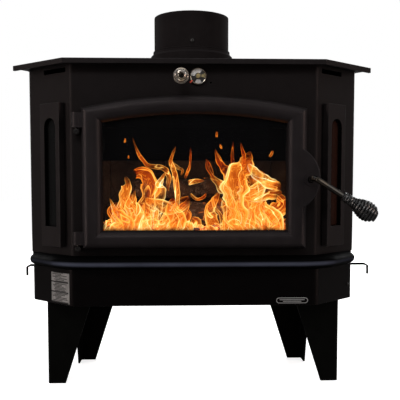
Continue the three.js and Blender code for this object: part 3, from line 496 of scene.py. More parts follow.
def dial_metal(centre):
    """Thermometer face: pale, dark and amber zones around the middle, and a dark case behind."""
    recipe = Recipe("dial_metal")
    hub, rim = 0.0078, 0.0165
    front = centre.y + 0.0006
    x, y, z = recipe.axes()
    dx = recipe.minus(x, centre.x)
    dz = recipe.minus(z, centre.z)
    angle = recipe.math("ARCTAN2", dz, dx)
    radius = recipe.distance(dx, dz)
    turn = recipe.spread(angle, -math.pi, math.pi)
    zones = recipe.ramp(turn, [
        (0.00, (0.03, 0.028, 0.026)),
        (0.175, (0.55, 0.54, 0.53)),
        (0.33, (0.03, 0.028, 0.026)),
        (0.46, (0.42, 0.34, 0.16)),
        (0.56, (0.04, 0.036, 0.032)),
        (0.66, (0.80, 0.79, 0.78)),
        (0.985, (0.03, 0.028, 0.026)),
    ])
    zones.node.color_ramp.interpolation = "CONSTANT"
    outside_hub = recipe.over(radius, hub)
    ring = recipe.times(outside_hub, recipe.under(radius, rim))
    face = recipe.times(ring, recipe.under(y, front))
    speckle = recipe.noise(260, 3)
    case = recipe.mix(speckle, (0.10, 0.095, 0.09), (0.22, 0.21, 0.20))
    dirty = recipe.mix(recipe.spread(speckle, 0.5, 0.75, 0.0, 0.35), zones, (0.10, 0.09, 0.08))
    recipe.set(Base_Color=recipe.mix(face, case, dirty), Metallic=recipe.spread(face, 0.0, 1.0, 0.9, 0.15))
    recipe.dullness(speckle, 0.2, 0.8, 0.28, 0.45)
    recipe.relief(speckle, 0.1, 0.0002)
    return recipe.material


def needle_finish(hub, tip, hub_radius):
    """Pointer: brass hub, black blade and a red tip, told apart by the distance from the hub."""
    recipe = Recipe("needle_finish")
    x, _, z = recipe.axes()
    dx = recipe.minus(x, hub.x)
    dz = recipe.minus(z, hub.z)
    radius = recipe.distance(dx, dz)
    clouds = recipe.noise(200, 3)
    blade = recipe.mix(clouds, (0.02, 0.02, 0.02), (0.05, 0.045, 0.04))
    red = recipe.mix(clouds, (0.62, 0.06, 0.03), (0.85, 0.12, 0.06))
    warm = recipe.mix(clouds, (0.62, 0.44, 0.17), (0.80, 0.64, 0.34))
    outer = recipe.mix(recipe.over(radius, tip), blade, red)
    on_hub = recipe.under(radius, hub_radius)
    recipe.set(Base_Color=recipe.mix(on_hub, outer, warm), Metallic=on_hub)
    recipe.dullness(clouds, 0.2, 0.8, 0.25, 0.4)
    return recipe.material


def coated(name, dark, light, roughness, metallic, scale=90, depth=0.2, specular=0.5):
    """A plain cloudy coat for parts that are mostly out of sight: motor, wheel, rubber, sooty steel."""
    recipe = Recipe(name)
    clouds = recipe.noise(scale, 5, rough=0.6)
    grime = recipe.spread(recipe.noise(scale / 6, 4), 0.4, 0.7)
    colour = recipe.patches(clouds, dark, light)
    recipe.set(Base_Color=recipe.mix(recipe.times(grime, 0.5), colour, dark), Metallic=metallic)
    recipe.set(Specular_IOR_Level=specular)
    recipe.dullness(clouds, 0.2, 0.8, roughness - 0.1, roughness + 0.1)
    recipe.relief(clouds, depth, 0.0006)
    return recipe.material


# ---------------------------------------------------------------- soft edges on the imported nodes
def node_group(name):
    group = bpy.data.node_groups.new(name, "GeometryNodeTree")
    group.interface.new_socket("Geometry", in_out="INPUT", socket_type="NodeSocketGeometry")
    group.interface.new_socket("Geometry", in_out="OUTPUT", socket_type="NodeSocketGeometry")
    return group, group.nodes.new("NodeGroupInput"), group.nodes.new("NodeGroupOutput")


def joined_corners():
    """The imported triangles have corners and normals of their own: this shares the corners again."""
    group, start, end = node_group("joined_corners")
    bare = group.nodes.new("GeometryNodeRemoveAttribute")
    bare.inputs["Name"].default_value = "custom_normal"
    merge = group.nodes.new("GeometryNodeMergeByDistance")
    merge.inputs["Distance"].default_value = 0.00001
    group.links.new(start.outputs[0], bare.inputs[0])
    group.links.new(bare.outputs[0], merge.inputs[0])
    group.links.new(merge.outputs[0], end.inputs[0])
    return group


def shaded_by_angle(limit):
    """Smooth shading, except across edges sharper than the limit."""
    group, start, end = node_group("shaded_by_angle")
    faces = group.nodes.new("GeometryNodeSetShadeSmooth")
    edges = group.nodes.new("GeometryNodeSetShadeSmooth")
    edges.domain = "EDGE"
    angle = group.nodes.new("GeometryNodeInputMeshEdgeAngle")
    shallow = group.nodes.new("FunctionNodeCompare")
    shallow.operation = "LESS_THAN"
    shallow.inputs[1].default_value = limit
    group.links.new(angle.outputs[0], shallow.inputs[0])
    group.links.new(start.outputs[0], faces.inputs[0])
    group.links.new(faces.outputs[0], edges.inputs[0])
    group.links.new(shallow.outputs[0], edges.inputs["Shade Smooth"])
    group.links.new(edges.outputs[0], end.inputs[0])
    return group


# Degrees: faces that differ by less than flat become one, edges over sharp are rounded off, and shading is
# smooth across edges under smooth.
EDGES = {"flat": 0.4, "sharp": 28, "smooth": 38, "segments": 2}
JOINED = joined_corners()
SHADED = shaded_by_angle(math.radians(EDGES["smooth"]))


def soften(made, width, packed=True):
    """Rounds the sharp edges of an object and shades it smooth between them."""
    if packed:
        made.modifiers.new("joined_corners", "NODES").node_group = JOINED
    flat = made.modifiers.new("flat_faces", "DECIMATE")
    flat.decimate_type = "DISSOLVE"
    flat.angle_limit = math.radians(EDGES["flat"])
    if width:
        round_over = made.modifiers.new("soft_edges", "BEVEL")
        round_over.width = width
        round_over.segments = EDGES["segments"]
        round_over.limit_method = "ANGLE"
        round_over.angle_limit = math.radians(EDGES["sharp"])
    made.modifiers.new("shaded_by_angle", "NODES").node_group = SHADED
    if width:
        flat_shading = made.modifiers.new("large_faces_lead", "WEIGHTED_NORMAL")
        flat_shading.mode = "FACE_AREA"
        flat_shading.weight = 80
        flat_shading.keep_sharp = True
    return made


def finish_nodes(names, look, width=0.0):
    for name in names:
        nodes[name].material_slots[0].material = look
        soften(nodes[name], width)


# ---------------------------------------------------------------- mesh building blocks
BOX_FACES = ((0, 2, 3, 1), (4, 5, 7, 6), (0, 1, 5, 4), (2, 6, 7, 3), (0, 4, 6, 2), (1, 3, 7, 5))


class Shape:
    """Points and faces gathered from several simple solids, to become one piece."""

    def __init__(self):
        self.points = []
        self.faces = []

    def add(self, points, faces):
        start = len(self.points)
        self.points += [Vector(point) for point in points]
        self.faces += [tuple(start + corner for corner in face) for face in faces]

    def lathe(self, profile, centre, axis, steps=24):
        """Turns (radius, height) pairs about the axis. Both ends are closed by a flat face."""
        turn = Vector(axis).to_track_quat("Z", "Y").to_matrix()
        centre = Vector(centre)
        points = []
        for radius, height in profile:
            for angle in ring_angles(steps):
                corner = Vector((radius * math.cos(angle), radius * math.sin(angle), height))
                points.append(centre + turn @ corner)
        self.add(points, ring_faces(len(profile), steps) + end_faces(len(profile), steps))

    def tube(self, path, radius, sides=10):
        """A round bar along a list of points, with flat ends."""
        points = []
        normal = None
        for index, point in enumerate(path):
            ahead = path[min(index + 1, len(path) - 1)] - path[max(index - 1, 0)]
            ahead.normalize()
            if normal is None:
                normal = ahead.orthogonal().normalized()
            normal = (normal - ahead * normal.dot(ahead)).normalized()
            side = ahead.cross(normal)
            for angle in ring_angles(sides):
                points.append(point + radius * (math.cos(angle) * normal + math.sin(angle) * side))
        self.add(points, ring_faces(len(path), sides) + end_faces(len(path), sides))

    def box(self, low, high):
        (x0, y0, z0), (x1, y1, z1) = low, high
        points = [(x, y, z) for z in (z0, z1) for y in (y0, y1) for x in (x0, x1)]
        self.add(points, BOX_FACES)

    def hex_screw(self, place, axis, across, washer=True):
        """Hexagon head with a chamfered top, on a round flange."""
        head = across / math.sqrt(3)
        height = 0.36 * across
        if washer:
            flange = [(0.80 * across, -0.0002), (0.80 * across, 0.0009), (0.62 * across, 0.0016)]
            self.lathe(flange, place, axis, 24)
        self.lathe([(head, 0.0), (head, height), (0.82 * head, height + 0.12 * across)], place, axis, 6)

    def piece(self, name, look, body="stove", slot="body_steel", width=0.0):
        """Makes the mesh object, which rides on a body of the frame."""
        mesh = bpy.data.meshes.new(name)
        mesh.from_pydata([tuple(point) for point in self.points], [], self.faces)
        work = bmesh.new()
        work.from_mesh(mesh)
        bmesh.ops.remove_doubles(work, verts=work.verts, dist=0.000002)
        bmesh.ops.recalc_face_normals(work, faces=work.faces)
        work.to_mesh(mesh)
        work.free()
        mesh.materials.append(look)
        made = bpy.data.objects.new(name, mesh)
        bpy.context.scene.collection.objects.link(made)
        soften(made, width, packed=False)
        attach(made, body)
        return made


def ring_angles(steps):
    return [2 * math.pi * step / steps for step in range(steps)]


def ring_faces(rings, sides, closed=False):
    """Side faces between neighbouring rings of points, and from the last ring to the first if closed."""
    faces = []
    for ring in range(rings if closed else rings - 1):
        here = ring * sides
        there = (ring + 1) % rings * sides
        for side in range(sides):
            following = (side + 1) % sides
            faces.append((here + side, here + following, there + following, there + side))
    return faces


def end_faces(rings, sides):
    """The flat faces that close the first and the last ring."""
    return [tuple(range(sides))[::-1], tuple((rings - 1) * sides + side for side in range(sides))]


def long_axis(name):
    """A node's middle, the direction that it is longest in, and half its length."""
    points = np.array([vertex.co for vertex in nodes[name].data.vertices])
    spread = points - points.mean(0)
    direction = np.linalg.svd(spread, full_matrices=False)[2][0]
    reach = spread @ direction
    centre = points.mean(0) + direction * (reach.max() + reach.min()) / 2
    return Vector(centre), Vector(direction), float(np.ptp(reach)) / 2


def outline_radius(name, centre, direction, stations):
    """How far a round node stands from its axis at evenly spaced stations along it."""
    points = np.array([vertex.co for vertex in nodes[name].data.vertices]) - np.array(centre)
    along = points @ np.array(direction)
    out = np.linalg.norm(points - np.outer(along, np.array(direction)), axis=1)
    places = np.unique(np.round(along, 4))
    widths = np.array([out[np.abs(along - place) < 0.00006].max() for place in places])
    return np.interp(np.linspace(places[0], places[-1], stations), places, widths)


# ---------------------------------------------------------------- coils
def spring_coil(node, name, look, body, slot, turns, wire, direction, end_hole,
                tail=0.0, opening=0.0, closing=0.0):
    """Replaces a plain grip node with the wire coil that it stands for, wound to the node's outline.

    The pitch grows along the coil when opening is over 0, and the turns crowd at both ends, as on a closed
    spring, when closing is over 0.
    """
    centre, axis, half = long_axis(node)
    if axis.dot(direction) < 0:
        axis = -axis
    side = axis.orthogonal().normalized()
    other = axis.cross(side)
    per_turn = 26
    count = int(turns * per_turn)
    widths = outline_radius(node, centre, axis, count + 1).tolist()
    path = []
    for step in range(count + 1):
        share = step / count
        advance = (1 - opening) * share + opening * share ** 2
        advance += closing * (0.5 - 0.5 * math.cos(math.pi * share) - share)
        reach = (2 * advance - 1) * (half - wire)
        radius = max(widths[round(advance * count)] - wire, end_hole)
        angle = 2 * math.pi * turns * share
        outward = math.cos(angle) * side + math.sin(angle) * other
        path.append(centre + axis * reach + radius * outward)
    if tail:
        last = (path[-1] - path[-2]).normalized()
        path += [path[-1] + last * tail * share for share in (0.4, 0.8, 1.0)]
    shape = Shape()
    shape.tube(path, wire, sides=9)
    made = shape.piece(name, look, body, slot)
    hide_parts(node)
    return made


# ---------------------------------------------------------------- fire
def burnt_log(node, look, seed):
    """A split log with bark ridges, knots and burnt-off ends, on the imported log's axis."""
    centre, axis, half = long_axis(node)
    low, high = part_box(node)
    thickness = 0.5 * min(high.z - low.z, high.y - low.y)
    side = axis.cross(UP).normalized()
    other = side.cross(axis).normalized()
    rings, sides = 96, 56
    points = []
    for ring in range(rings):
        share = ring / (rings - 1)
        reach = (2 * share - 1) * half
        nib = 1 - max(0.0, abs(2 * share - 1) - 0.86) / 0.14 * 0.35
        for angle in ring_angles(sides):
            flat = 0.88 + 0.12 * abs(math.cos(1.5 * angle + seed))
            lumps = noise.noise(Vector((share * 3 + seed, math.cos(angle), math.sin(angle))))
            bark = noise.noise(Vector((share * 9, 3.2 * math.cos(angle) + seed, 3.2 * math.sin(angle))))
            plates = abs(noise.noise(Vector((share * 26 + seed, 5 * math.cos(angle), 5 * math.sin(angle)))))
            radius = thickness * nib * (0.90 * flat + 0.07 * lumps + 0.05 * bark - 0.07 * plates)
            burnt = 0.006 * noise.noise(Vector((math.cos(angle) * 2, math.sin(angle) * 2, seed + share)))
            outward = math.cos(angle) * side + math.sin(angle) * other
            points.append(centre + axis * (reach + burnt) + radius * outward)
    shape = Shape()
    shape.add(points, ring_faces(rings, sides) + end_faces(rings, sides))
    made = shape.piece(node + "_burnt", look, slot="charred_wood")
    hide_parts(node)
    return made


def coal(shape, place, size, chance):
    """A broken coal: a ball of few faces with its corners pushed about."""
    work = bmesh.new()
    bmesh.ops.create_icosphere(work, subdivisions=2, radius=size)
    stretch = Vector((chance.uniform(0.8, 1.5), chance.uniform(0.7, 1.2), chance.uniform(0.5, 0.9)))
    turn = Matrix.Rotation(chance.uniform(0, math.pi), 3, "Z")
    drift = chance.uniform(0, 50)
    for vertex in work.verts:
        rough = 1 + 0.45 * noise.noise(vertex.co / size * 1.3 + Vector((drift, 0, 0)))
        vertex.co = turn @ Vector([part * factor * rough for part, factor in zip(vertex.co, stretch)])
    points = [vertex.co + place for vertex in work.verts]
    faces = [tuple(vertex.index for vertex in face.verts) for face in work.faces]
    work.free()
    shape.add(points, faces)


def ember_bed(look, seed=11):
    """A bed of ash with glowing coals on it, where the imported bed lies."""
    chance = random.Random(seed)
    low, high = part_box("ember_bed")
    shape = Shape()
    columns, rows = 90, 44
    surface = []
    for row in range(rows):
        for column in range(columns):
            u = column / (columns - 1)
            v = row / (rows - 1)
            x = low.x + u * (high.x - low.x)
            y = low.y + v * (high.y - low.y)
            edge = min(u, 1 - u, v, 1 - v)
            mound = min(1.0, edge / 0.12) ** 0.5
            lump = 0.75 + 0.5 * noise.noise(Vector((x, y, 0)) * 34)
            lump += 0.3 * noise.noise(Vector((x, y, 4)) * 90)
            surface.append(Vector((x, y, low.z + (high.z - low.z) * mound * min(lump, 1.0))))
    faces = []
    for row in range(rows - 1):
        for column in range(columns - 1):
            corner = row * columns + column
            faces.append((corner, corner + 1, corner + columns + 1, corner + columns))
    rim = list(range(columns)) + [row * columns + columns - 1 for row in range(1, rows)]
    rim += [(rows - 1) * columns + column for column in range(columns - 2, -1, -1)]
    rim += [row * columns for row in range(rows - 2, 0, -1)]
    under = [Vector((surface[corner].x, surface[corner].y, low.z - 0.0002)) for corner in rim]
    first = len(surface)
    for index in range(len(rim)):
        following = (index + 1) % len(rim)
        faces.append((rim[following], rim[index], first + index, first + following))
    faces.append(tuple(range(first, first + len(rim))))
    shape.add(surface + under, faces)
    for _ in range(230):
        size = chance.uniform(0.005, 0.014)
        x = chance.uniform(low.x + 0.02, high.x - 0.02)
        y = chance.uniform(low.y + 0.012, high.y - 0.02)
        coal(shape, Vector((x, y, high.z - 0.004 + 0.3 * size)), size, chance)
    made = shape.piece("glowing_embers", look, slot="embers")
    made.visible_diffuse = False
    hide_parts("ember_bed")
    return made


# The listed flames, in millimetres: tip, width, warmth, and a few (x, z) points from foot to tip.
# Warmth shifts the colour from deep orange (below 0) to pale yellow (above 0).
POINTED, ROUND = False, True
FLAMES = (
    # the left mass
    (POINTED, 17, -0.06, (-72, 478), (-68, 514), (-80, 532), (-118, 541), (-140, 566), (-155, 607)),
    (POINTED, 19, 0.06, (-46, 440), (-48, 490), (-56, 530), (-62, 552), (-50, 586)),
    (POINTED, 12, -0.02, (-64, 548), (-46, 536), (-34, 528), (-40, 512)),
    (POINTED, 46, 0.08, (-186, 380), (-178, 420), (-180, 460), (-168, 488), (-176, 514)),
    (POINTED, 62, -0.16, (-130, 400), (-122, 450), (-112, 500), (-142, 522), (-154, 520)),
    (POINTED, 50, -0.04, (-150, 380), (-146, 420), (-158, 452), (-150, 486)),
    (POINTED, 34, 0.20, (-104, 390), (-92, 440), (-88, 476), (-90, 496), (-76, 524)),
    (POINTED, 22, 0.10, (-190, 384), (-203, 404), (-202, 430), (-214, 461)),
    (ROUND, 34, 0.06, (-128, 462), (-100, 444), (-60, 434), (-16, 458)),
    (POINTED, 54, 0.00, (-74, 378), (-60, 408), (-34, 426), (-18, 460)),
    (POINTED, 40, 0.16, (-132, 376), (-112, 400), (-104, 420), (-108, 446)),
    (ROUND, 26, 0.22, (-214, 376), (-180, 392), (-130, 398), (-80, 412)),
    # between the two masses
    (POINTED, 17, 0.04, (-20, 497.5), (-4, 500.5), (20, 502)),
    (POINTED, 10, -0.22, (-14, 470), (2, 456), (20, 462), (26, 476)),
    (POINTED, 9, -0.35, (-28, 508), (-16, 540), (-14, 588)),
    # the right mass
    (POINTED, 86, 0.02, (104, 385), (92, 450), (98, 510), (122, 540), (132, 574)),
    (ROUND, 30, 0.20, (126, 548), (146, 520), (176, 500), (202, 486)),
    (ROUND, 56, 0.10, (110, 462), (150, 470), (182, 478), (213, 478)),
    (ROUND, 70, 0.12, (120, 400), (134, 440), (140, 480), (128, 532)),
    (POINTED, 38, 0.12, (94, 430), (80, 470), (58, 490), (32, 524)),
    (POINTED, 28, -0.20, (86, 480), (74, 520), (58, 545), (46, 580)),
    (POINTED, 14, -0.24, (112, 530), (116, 556), (108, 598)),
    (POINTED, 11, -0.34, (96, 530), (88, 556), (90, 600)),
    (POINTED, 18, -0.40, (40, 510), (30, 536), (22, 556)),
    (POINTED, 40, -0.04, (60, 380), (36, 412), (40, 442), (64, 480)),
    (POINTED, 56, 0.00, (156, 380), (152, 420), (160, 446), (176, 468)),
    (POINTED, 14, 0.26, (218, 381), (190, 390), (172, 414), (174, 452)),
    (POINTED, 44, 0.16, (70, 376), (92, 400), (98, 425), (84, 456)),
    (POINTED, 6, -0.30, (132, 528), (158, 524), (172, 512), (170, 500)),
)
# Sparks that have left the fire, in millimetres: x, z and length.
SPARKS = ((-174, 594, 12), (49, 608, 16), (180, 560, 18), (-165, 556, 8), (62, 580, 12))
# The fire's depth, ends and floor, its low line of tongues, the two masses of fillers behind the listed
# flames, and where the baffle plate starts: flames that reach that high stay in front of it.
FLAME = {
    "front": -0.186, "back": -0.130, "left": -0.228, "right": 0.218, "floor": 0.370,
    "low": 34, "low_rise": (0.018, 0.046),
    "fillers": 22, "filler_rise": (0.060, 0.105), "mass_middle": 0.115, "mass_half": 0.080,
    "baffle_low": 0.560, "baffle_front": -0.171,
}


def smooth_route(points, rows):
    """A Catmull-Rom curve through (x, z) points, as rows + 1 places and headings."""
    padded = [2 * points[0] - points[1], *points, 2 * points[-1] - points[-2]]
    route = []
    for row in range(rows + 1):
        reach = row / rows * (len(points) - 1)
        first = min(int(reach), len(points) - 2)
        t = reach - first
        a, b, c, d = padded[first:first + 4]
        square = 2 * a - 5 * b + 4 * c - d
        cube = 3 * b - a - 3 * c + d
        place = 0.5 * (2 * b + (c - a) * t + square * t ** 2 + cube * t ** 3)
        heading = 0.5 * ((c - a) + 2 * square * t + 3 * cube * t ** 2)
        route.append((place, heading.normalized()))
    return route


class FlameSheets:
    """Curved flame sheets gathered into one mesh, with the values that the flame finish reads."""

    def __init__(self):
        self.points = []
        self.faces = []
        self.values = {"along": [], "rim": [], "warmth": []}
        self.flow = []

    def sheet(self, path, width, warmth, chance, blunt=False):
        """One tongue: a ribbon that swells along its path, bows towards the glass and ripples."""
        corners = [Vector(point) for point in path]
        length = sum((b - a).length for a, b in zip(corners, corners[1:]))
        row_length = 0.004
        rows = max(12, int(length / row_length))
        columns = 12
        start = len(self.points)
        depth = chance.uniform(FLAME["front"] + 0.010, FLAME["back"])
        if max(corner.y for corner in corners) > FLAME["baffle_low"]:
            depth = min(depth, FLAME["baffle_front"])
        phase = chance.uniform(0, 2 * math.pi)
        seed = chance.uniform(0, 60)
        raggedness = 0.22 if blunt else 0.55
        for row, (place, heading) in enumerate(smooth_route(corners, rows)):
            t = row / rows
            if blunt:
                swell = math.sqrt(max(0.0, 1 - abs(2 * t - 1.1) ** 3.2)) * (0.75 + 0.35 * t)
            else:
                swell = 1.5 * (t + 0.10) ** 0.45 * (1 - t) ** 0.75
            half = 0.5 * width * swell
            side = Vector((heading.y, -heading.x))
            place = place + side * 0.30 * half * noise.noise(Vector((seed, 34 * length * t, 9)))
            for column in range(columns + 1):
                u = 2 * column / columns - 1
                edge_seed = seed + (7 if u > 0 else 0)
                ragged = 1 + raggedness * noise.noise(Vector((edge_seed, 55 * length * t, 0)))
                spot = place + side * half * u * ragged
                bow = 0.35 * half * (1 - u * u) + 0.10 * half * math.sin(9 * t + 4 * u + phase)
                self.points.append(Vector((spot.x, max(depth - bow, FLAME["front"]), spot.y)))
                self.values["along"].append(t)
                self.values["rim"].append(abs(u))
                self.values["warmth"].append(warmth)
                self.flow += [half * u + seed, length * t, seed]
        for row in range(rows):
            for column in range(columns):
                corner = start + row * (columns + 1) + column
                self.faces.append((corner, corner + 1, corner + columns + 2, corner + columns + 1))

    def piece(self, name, look):
        mesh = bpy.data.meshes.new(name)
        mesh.from_pydata([tuple(point) for point in self.points], [], self.faces)
        for key, values in self.values.items():
            mesh.attributes.new(key, "FLOAT", "POINT").data.foreach_set("value", values)
        mesh.attributes.new("flow", "FLOAT_VECTOR", "POINT").data.foreach_set("vector", self.flow)
        for face in mesh.polygons:
            face.use_smooth = True
        mesh.materials.append(look)
        made = bpy.data.objects.new(name, mesh)
        made.visible_diffuse = False
        made.visible_glossy = False
        bpy.context.scene.collection.objects.link(made)
        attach(made, "stove")
        return made


def swaying_path(x, rise, lean, chance):
    """Four points of a tongue that stands on the embers and sways on its way up."""
    sway = chance.uniform(-0.14, 0.14) * rise
    return [(x, FLAME["floor"]), (x + 0.2 * lean + sway, FLAME["floor"] + 0.35 * rise),
            (x + 0.6 * lean - sway, FLAME["floor"] + 0.7 * rise), (x + lean, FLAME["floor"] + rise)]


def burning_fire(look, seed=23):
    """The listed flames, fillers behind them in two masses, and a low line of flame along the front."""
    chance = random.Random(seed)
    fillers = FlameSheets()
    for number in range(FLAME["fillers"]):
        middle = -FLAME["mass_middle"] if number % 2 else FLAME["mass_middle"]
        x = middle + chance.uniform(-FLAME["mass_half"], FLAME["mass_half"])
        rise = chance.uniform(*FLAME["filler_rise"])
        path = swaying_path(x, rise, chance.uniform(-0.30, 0.30) * rise, chance)
        fillers.sheet(path, rise * chance.uniform(0.45, 0.70), chance.uniform(-0.12, 0.04), chance)
    fillers.piece("flame_fillers", look)

    tongues = FlameSheets()
    for blunt, width, warmth, *path in FLAMES:
        path = [(x / 1000, z / 1000) for x, z in path]
        tongues.sheet(path, width / 1000, warmth, chance, blunt)
    for spark in SPARKS:
        x, z, length = (part / 1000 for part in spark)
        lean = chance.uniform(-0.4, 0.4) * length
        path = [(x, z), (x + 0.7 * lean, z + 0.5 * length), (x + lean, z + length)]
        tongues.sheet(path, 0.5 * length, -0.10, chance)
    tongues.piece("flame_tongues", look)

    low_line = FlameSheets()
    left, right = FLAME["left"], FLAME["right"]
    for number in range(FLAME["low"]):
        x = left + (right - left) * (number + chance.uniform(-0.4, 0.4)) / (FLAME["low"] - 1)
        rise = chance.uniform(*FLAME["low_rise"])
        path = swaying_path(x, rise, chance.uniform(-0.9, 0.9) * rise, chance)
        low_line.sheet(path, rise * chance.uniform(0.8, 1.5), chance.uniform(-0.05, 0.20), chance)
    low_line.piece("flame_line", look)


# ---------------------------------------------------------------- trim and fasteners
# The bay windows: cant of their panels, the pane's half thickness and lap behind the frame, the slot's half
# width, and the liner's gap to the slot, wall and depth.
BAY = {"cant": 43.0, "glass_half": 0.0024, "lap": 0.0065, "slot_half": 0.0215, "wall_gap": 0.0004,
       "wall": 0.0012, "depth": 0.0094}
# The skirt's canted ends: their angle in degrees and how far they run back, and the bolt on the right one.
SKIRT = {"cant": 43.4, "cant_depth": 0.104, "bolt_height": 0.242, "bolt_inset": 0.018}
# The blank plate on the skirt: its middle, its half sizes, the width of its rim and its two plain bars as
# (height over the middle, half length).
BADGE = {"x": 0.2255, "z": 0.2185, "half_width": 0.038, "half_height": 0.0068, "rim": 0.0016,
         "bars": ((0.0018, 0.030), (-0.0018, 0.022)), "bar_half": 0.0008}
# The thermometer's scale: number of marks, its first angle and its sweep in degrees, how far out the marks
# end, and where a long and a short one start and their half width.
SCALE = {"marks": 26, "first": -35, "sweep": 250, "outer": 0.0160,
         "long": (0.0112, 0.00030), "short": (0.0132, 0.00018)}
# The width across the flats of a panel screw's head.
SCREW = 0.008


def screws(name, spots, look, across=SCREW, body="stove", washer=True):
    """Hexagon screws at (place, axis) spots, joined into one piece."""
    shape = Shape()
    for place, axis in spots:
        shape.hex_screw(place, axis, across, washer)
    return shape.piece(name, look, body, "handle_steel")


def rear_screws(look):
    """Screws around the rear panel."""
    low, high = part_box("rear_panel")
    inset = 0.016
    spots = []
    for share in (0.0, 0.25, 0.5, 0.75, 1.0):
        z = low.z + inset + share * (high.z - low.z - 2 * inset)
        spots += [((x, high.y, z), BACKWARD) for x in (low.x + inset, high.x - inset)]
    for share in (0.2, 0.4, 0.6, 0.8):
        spots.append(((low.x + share * (high.x - low.x), high.y, high.z - inset), BACKWARD))
    screws("rear_screws", spots, look)


def side_screws(look):
    """Screws that hold the side panels."""
    spots = []
    for name, side in (("side_panel_left", -1), ("side_panel_right", 1)):
        low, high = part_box(name)
        x = low.x if side < 0 else high.x
        for y in (low.y + 0.03, high.y - 0.03):
            spots += [((x, y, z), Vector((side, 0, 0))) for z in (low.z + 0.05, high.z - 0.05)]
    screws("side_screws", spots, look)


def shelf_apron(look):
    """Two strips behind the shelf, over the skirt and inside it, that fill most of the gap there."""
    gap = 0.0004
    sheet = 0.004
    reach_down = 0.032
    shelf_low, shelf_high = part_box("hearth_shelf")
    skirt_low, skirt_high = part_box("skirt")
    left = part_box("side_panel_left")[1].x + gap
    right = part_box("side_panel_right")[0].x - gap
    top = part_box("base_plate")[0].z - gap
    middle = shelf_low.z + gap
    front, back = shelf_high.y + gap, shelf_high.y + 4 * gap
    shape = Shape()
    shape.box((left, front, middle), (right, back, top))
    inset = sheet + gap
    shape.box((skirt_low.x + inset, front, middle - reach_down), (skirt_high.x - inset, back, middle))
    return shape.piece("shelf_apron", look, slot="body_steel", width=gap)


def skirt_bolt(look):
    """The dome-head bolt on the right canted end of the skirt."""
    low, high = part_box("skirt")
    cant = math.radians(SKIRT["cant"])
    outward = Vector((math.sin(cant), -math.cos(cant), 0))
    inward = Vector((-math.cos(cant), -math.sin(cant), 0))
    rear_edge = Vector((high.x, low.y + SKIRT["cant_depth"], SKIRT["bolt_height"]))
    shape = Shape()
    profile = [(0.0048, -0.0004), (0.0048, 0.0006), (0.0042, 0.0018), (0.0028, 0.0027), (0.0010, 0.0030)]
    shape.lathe(profile, rear_edge + inward * SKIRT["bolt_inset"], outward, 20)
    return shape.piece("skirt_bolt", look, slot="handle_steel")


def flue_trim(look_paint, look_screw):
    """The pipe's lap seam at the back, and three screws that pin the pipe to the collar."""
    low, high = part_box("flue_pipe")
    centre = (low + high) / 2
    radius = (high.x - low.x) / 2
    collar_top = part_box("flue_collar")[1].z
    seam = Shape()
    width = 0.012
    turn = width / radius
    columns = 8
    inner, outer = radius - 0.0002, radius + 0.0012
    bottom, top = collar_top - 0.001, high.z - 0.0006
    points = []
    for column in range(columns + 1):
        angle = math.pi / 2 + turn * (column / columns - 0.5)
        for out, z in ((inner, bottom), (outer, bottom), (outer, top), (inner, top)):
            points.append((centre.x + out * math.cos(angle), centre.y + out * math.sin(angle), z))
    seam.add(points, ring_faces(columns + 1, 4) + end_faces(columns + 1, 4))
    seam.piece("flue_seam", look_paint, slot="flue_steel")
    spots = []
    for angle in (30, 150, 270):
        out = Vector((math.cos(math.radians(angle)), math.sin(math.radians(angle)), 0))
        spots.append((Vector((centre.x, centre.y, collar_top + 0.014)) + out * radius, out))
    screws("flue_screws", spots, look_screw, across=0.006)


def blank_badge(look_rim, look_field):
    """A small plate with no lettering, low on the right of the skirt."""
    middle = Vector((BADGE["x"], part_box("skirt")[0].y, BADGE["z"]))
    half_width, half_height, border = BADGE["half_width"], BADGE["half_height"], BADGE["rim"]
    rim = Shape()
    rim.add(*rounded_plate(middle, half_width, half_height, -0.0012, 0.0002))
    rim.piece("badge_plate", look_rim, slot="label_plate", width=0.0003)
    field = Shape()
    field.add(*rounded_plate(middle, half_width - border, half_height - border, -0.0015, -0.0010))
    field.piece("badge_field", look_field, slot="body_steel")
    bars = Shape()
    for shift, reach in BADGE["bars"]:
        bars.add(*rounded_plate(middle + UP * shift, reach, BADGE["bar_half"], -0.0018, -0.0013))
    bars.piece("badge_bars", look_rim, slot="label_plate")


def rounded_plate(middle, half_width, half_height, front, back):
    """A plate in x, z with round ends, from front to back of the middle's y."""
    steps = 8
    outline = []
    for side, start in ((1, -90), (-1, 90)):
        for step in range(steps + 1):
            angle = math.radians(start + 180 * step / steps)
            x = side * (half_width - half_height) + half_height * math.cos(angle)
            outline.append((x, half_height * math.sin(angle)))
    count = len(outline)
    points = [(middle.x + x, middle.y + y, middle.z + z) for y in (front, back) for x, z in outline]
    return points, ring_faces(2, count) + end_faces(2, count)


def hinge_caps(look):
    """Turned ends of the two hinge stubs, with a centre mark."""
    shape = Shape()
    for name in ("hinge_stub_upper", "hinge_stub_lower"):
        low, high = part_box(name)
        middle = (low + high) / 2
        profile = [(0.0058, -0.0002), (0.0058, 0.0005), (0.0050, 0.0009), (0.0018, 0.0009), (0.0010, 0.0003)]
        shape.lathe(profile, (middle.x, low.y, middle.z), FORWARD, 24)
    return shape.piece("hinge_caps", look, slot="handle_steel")


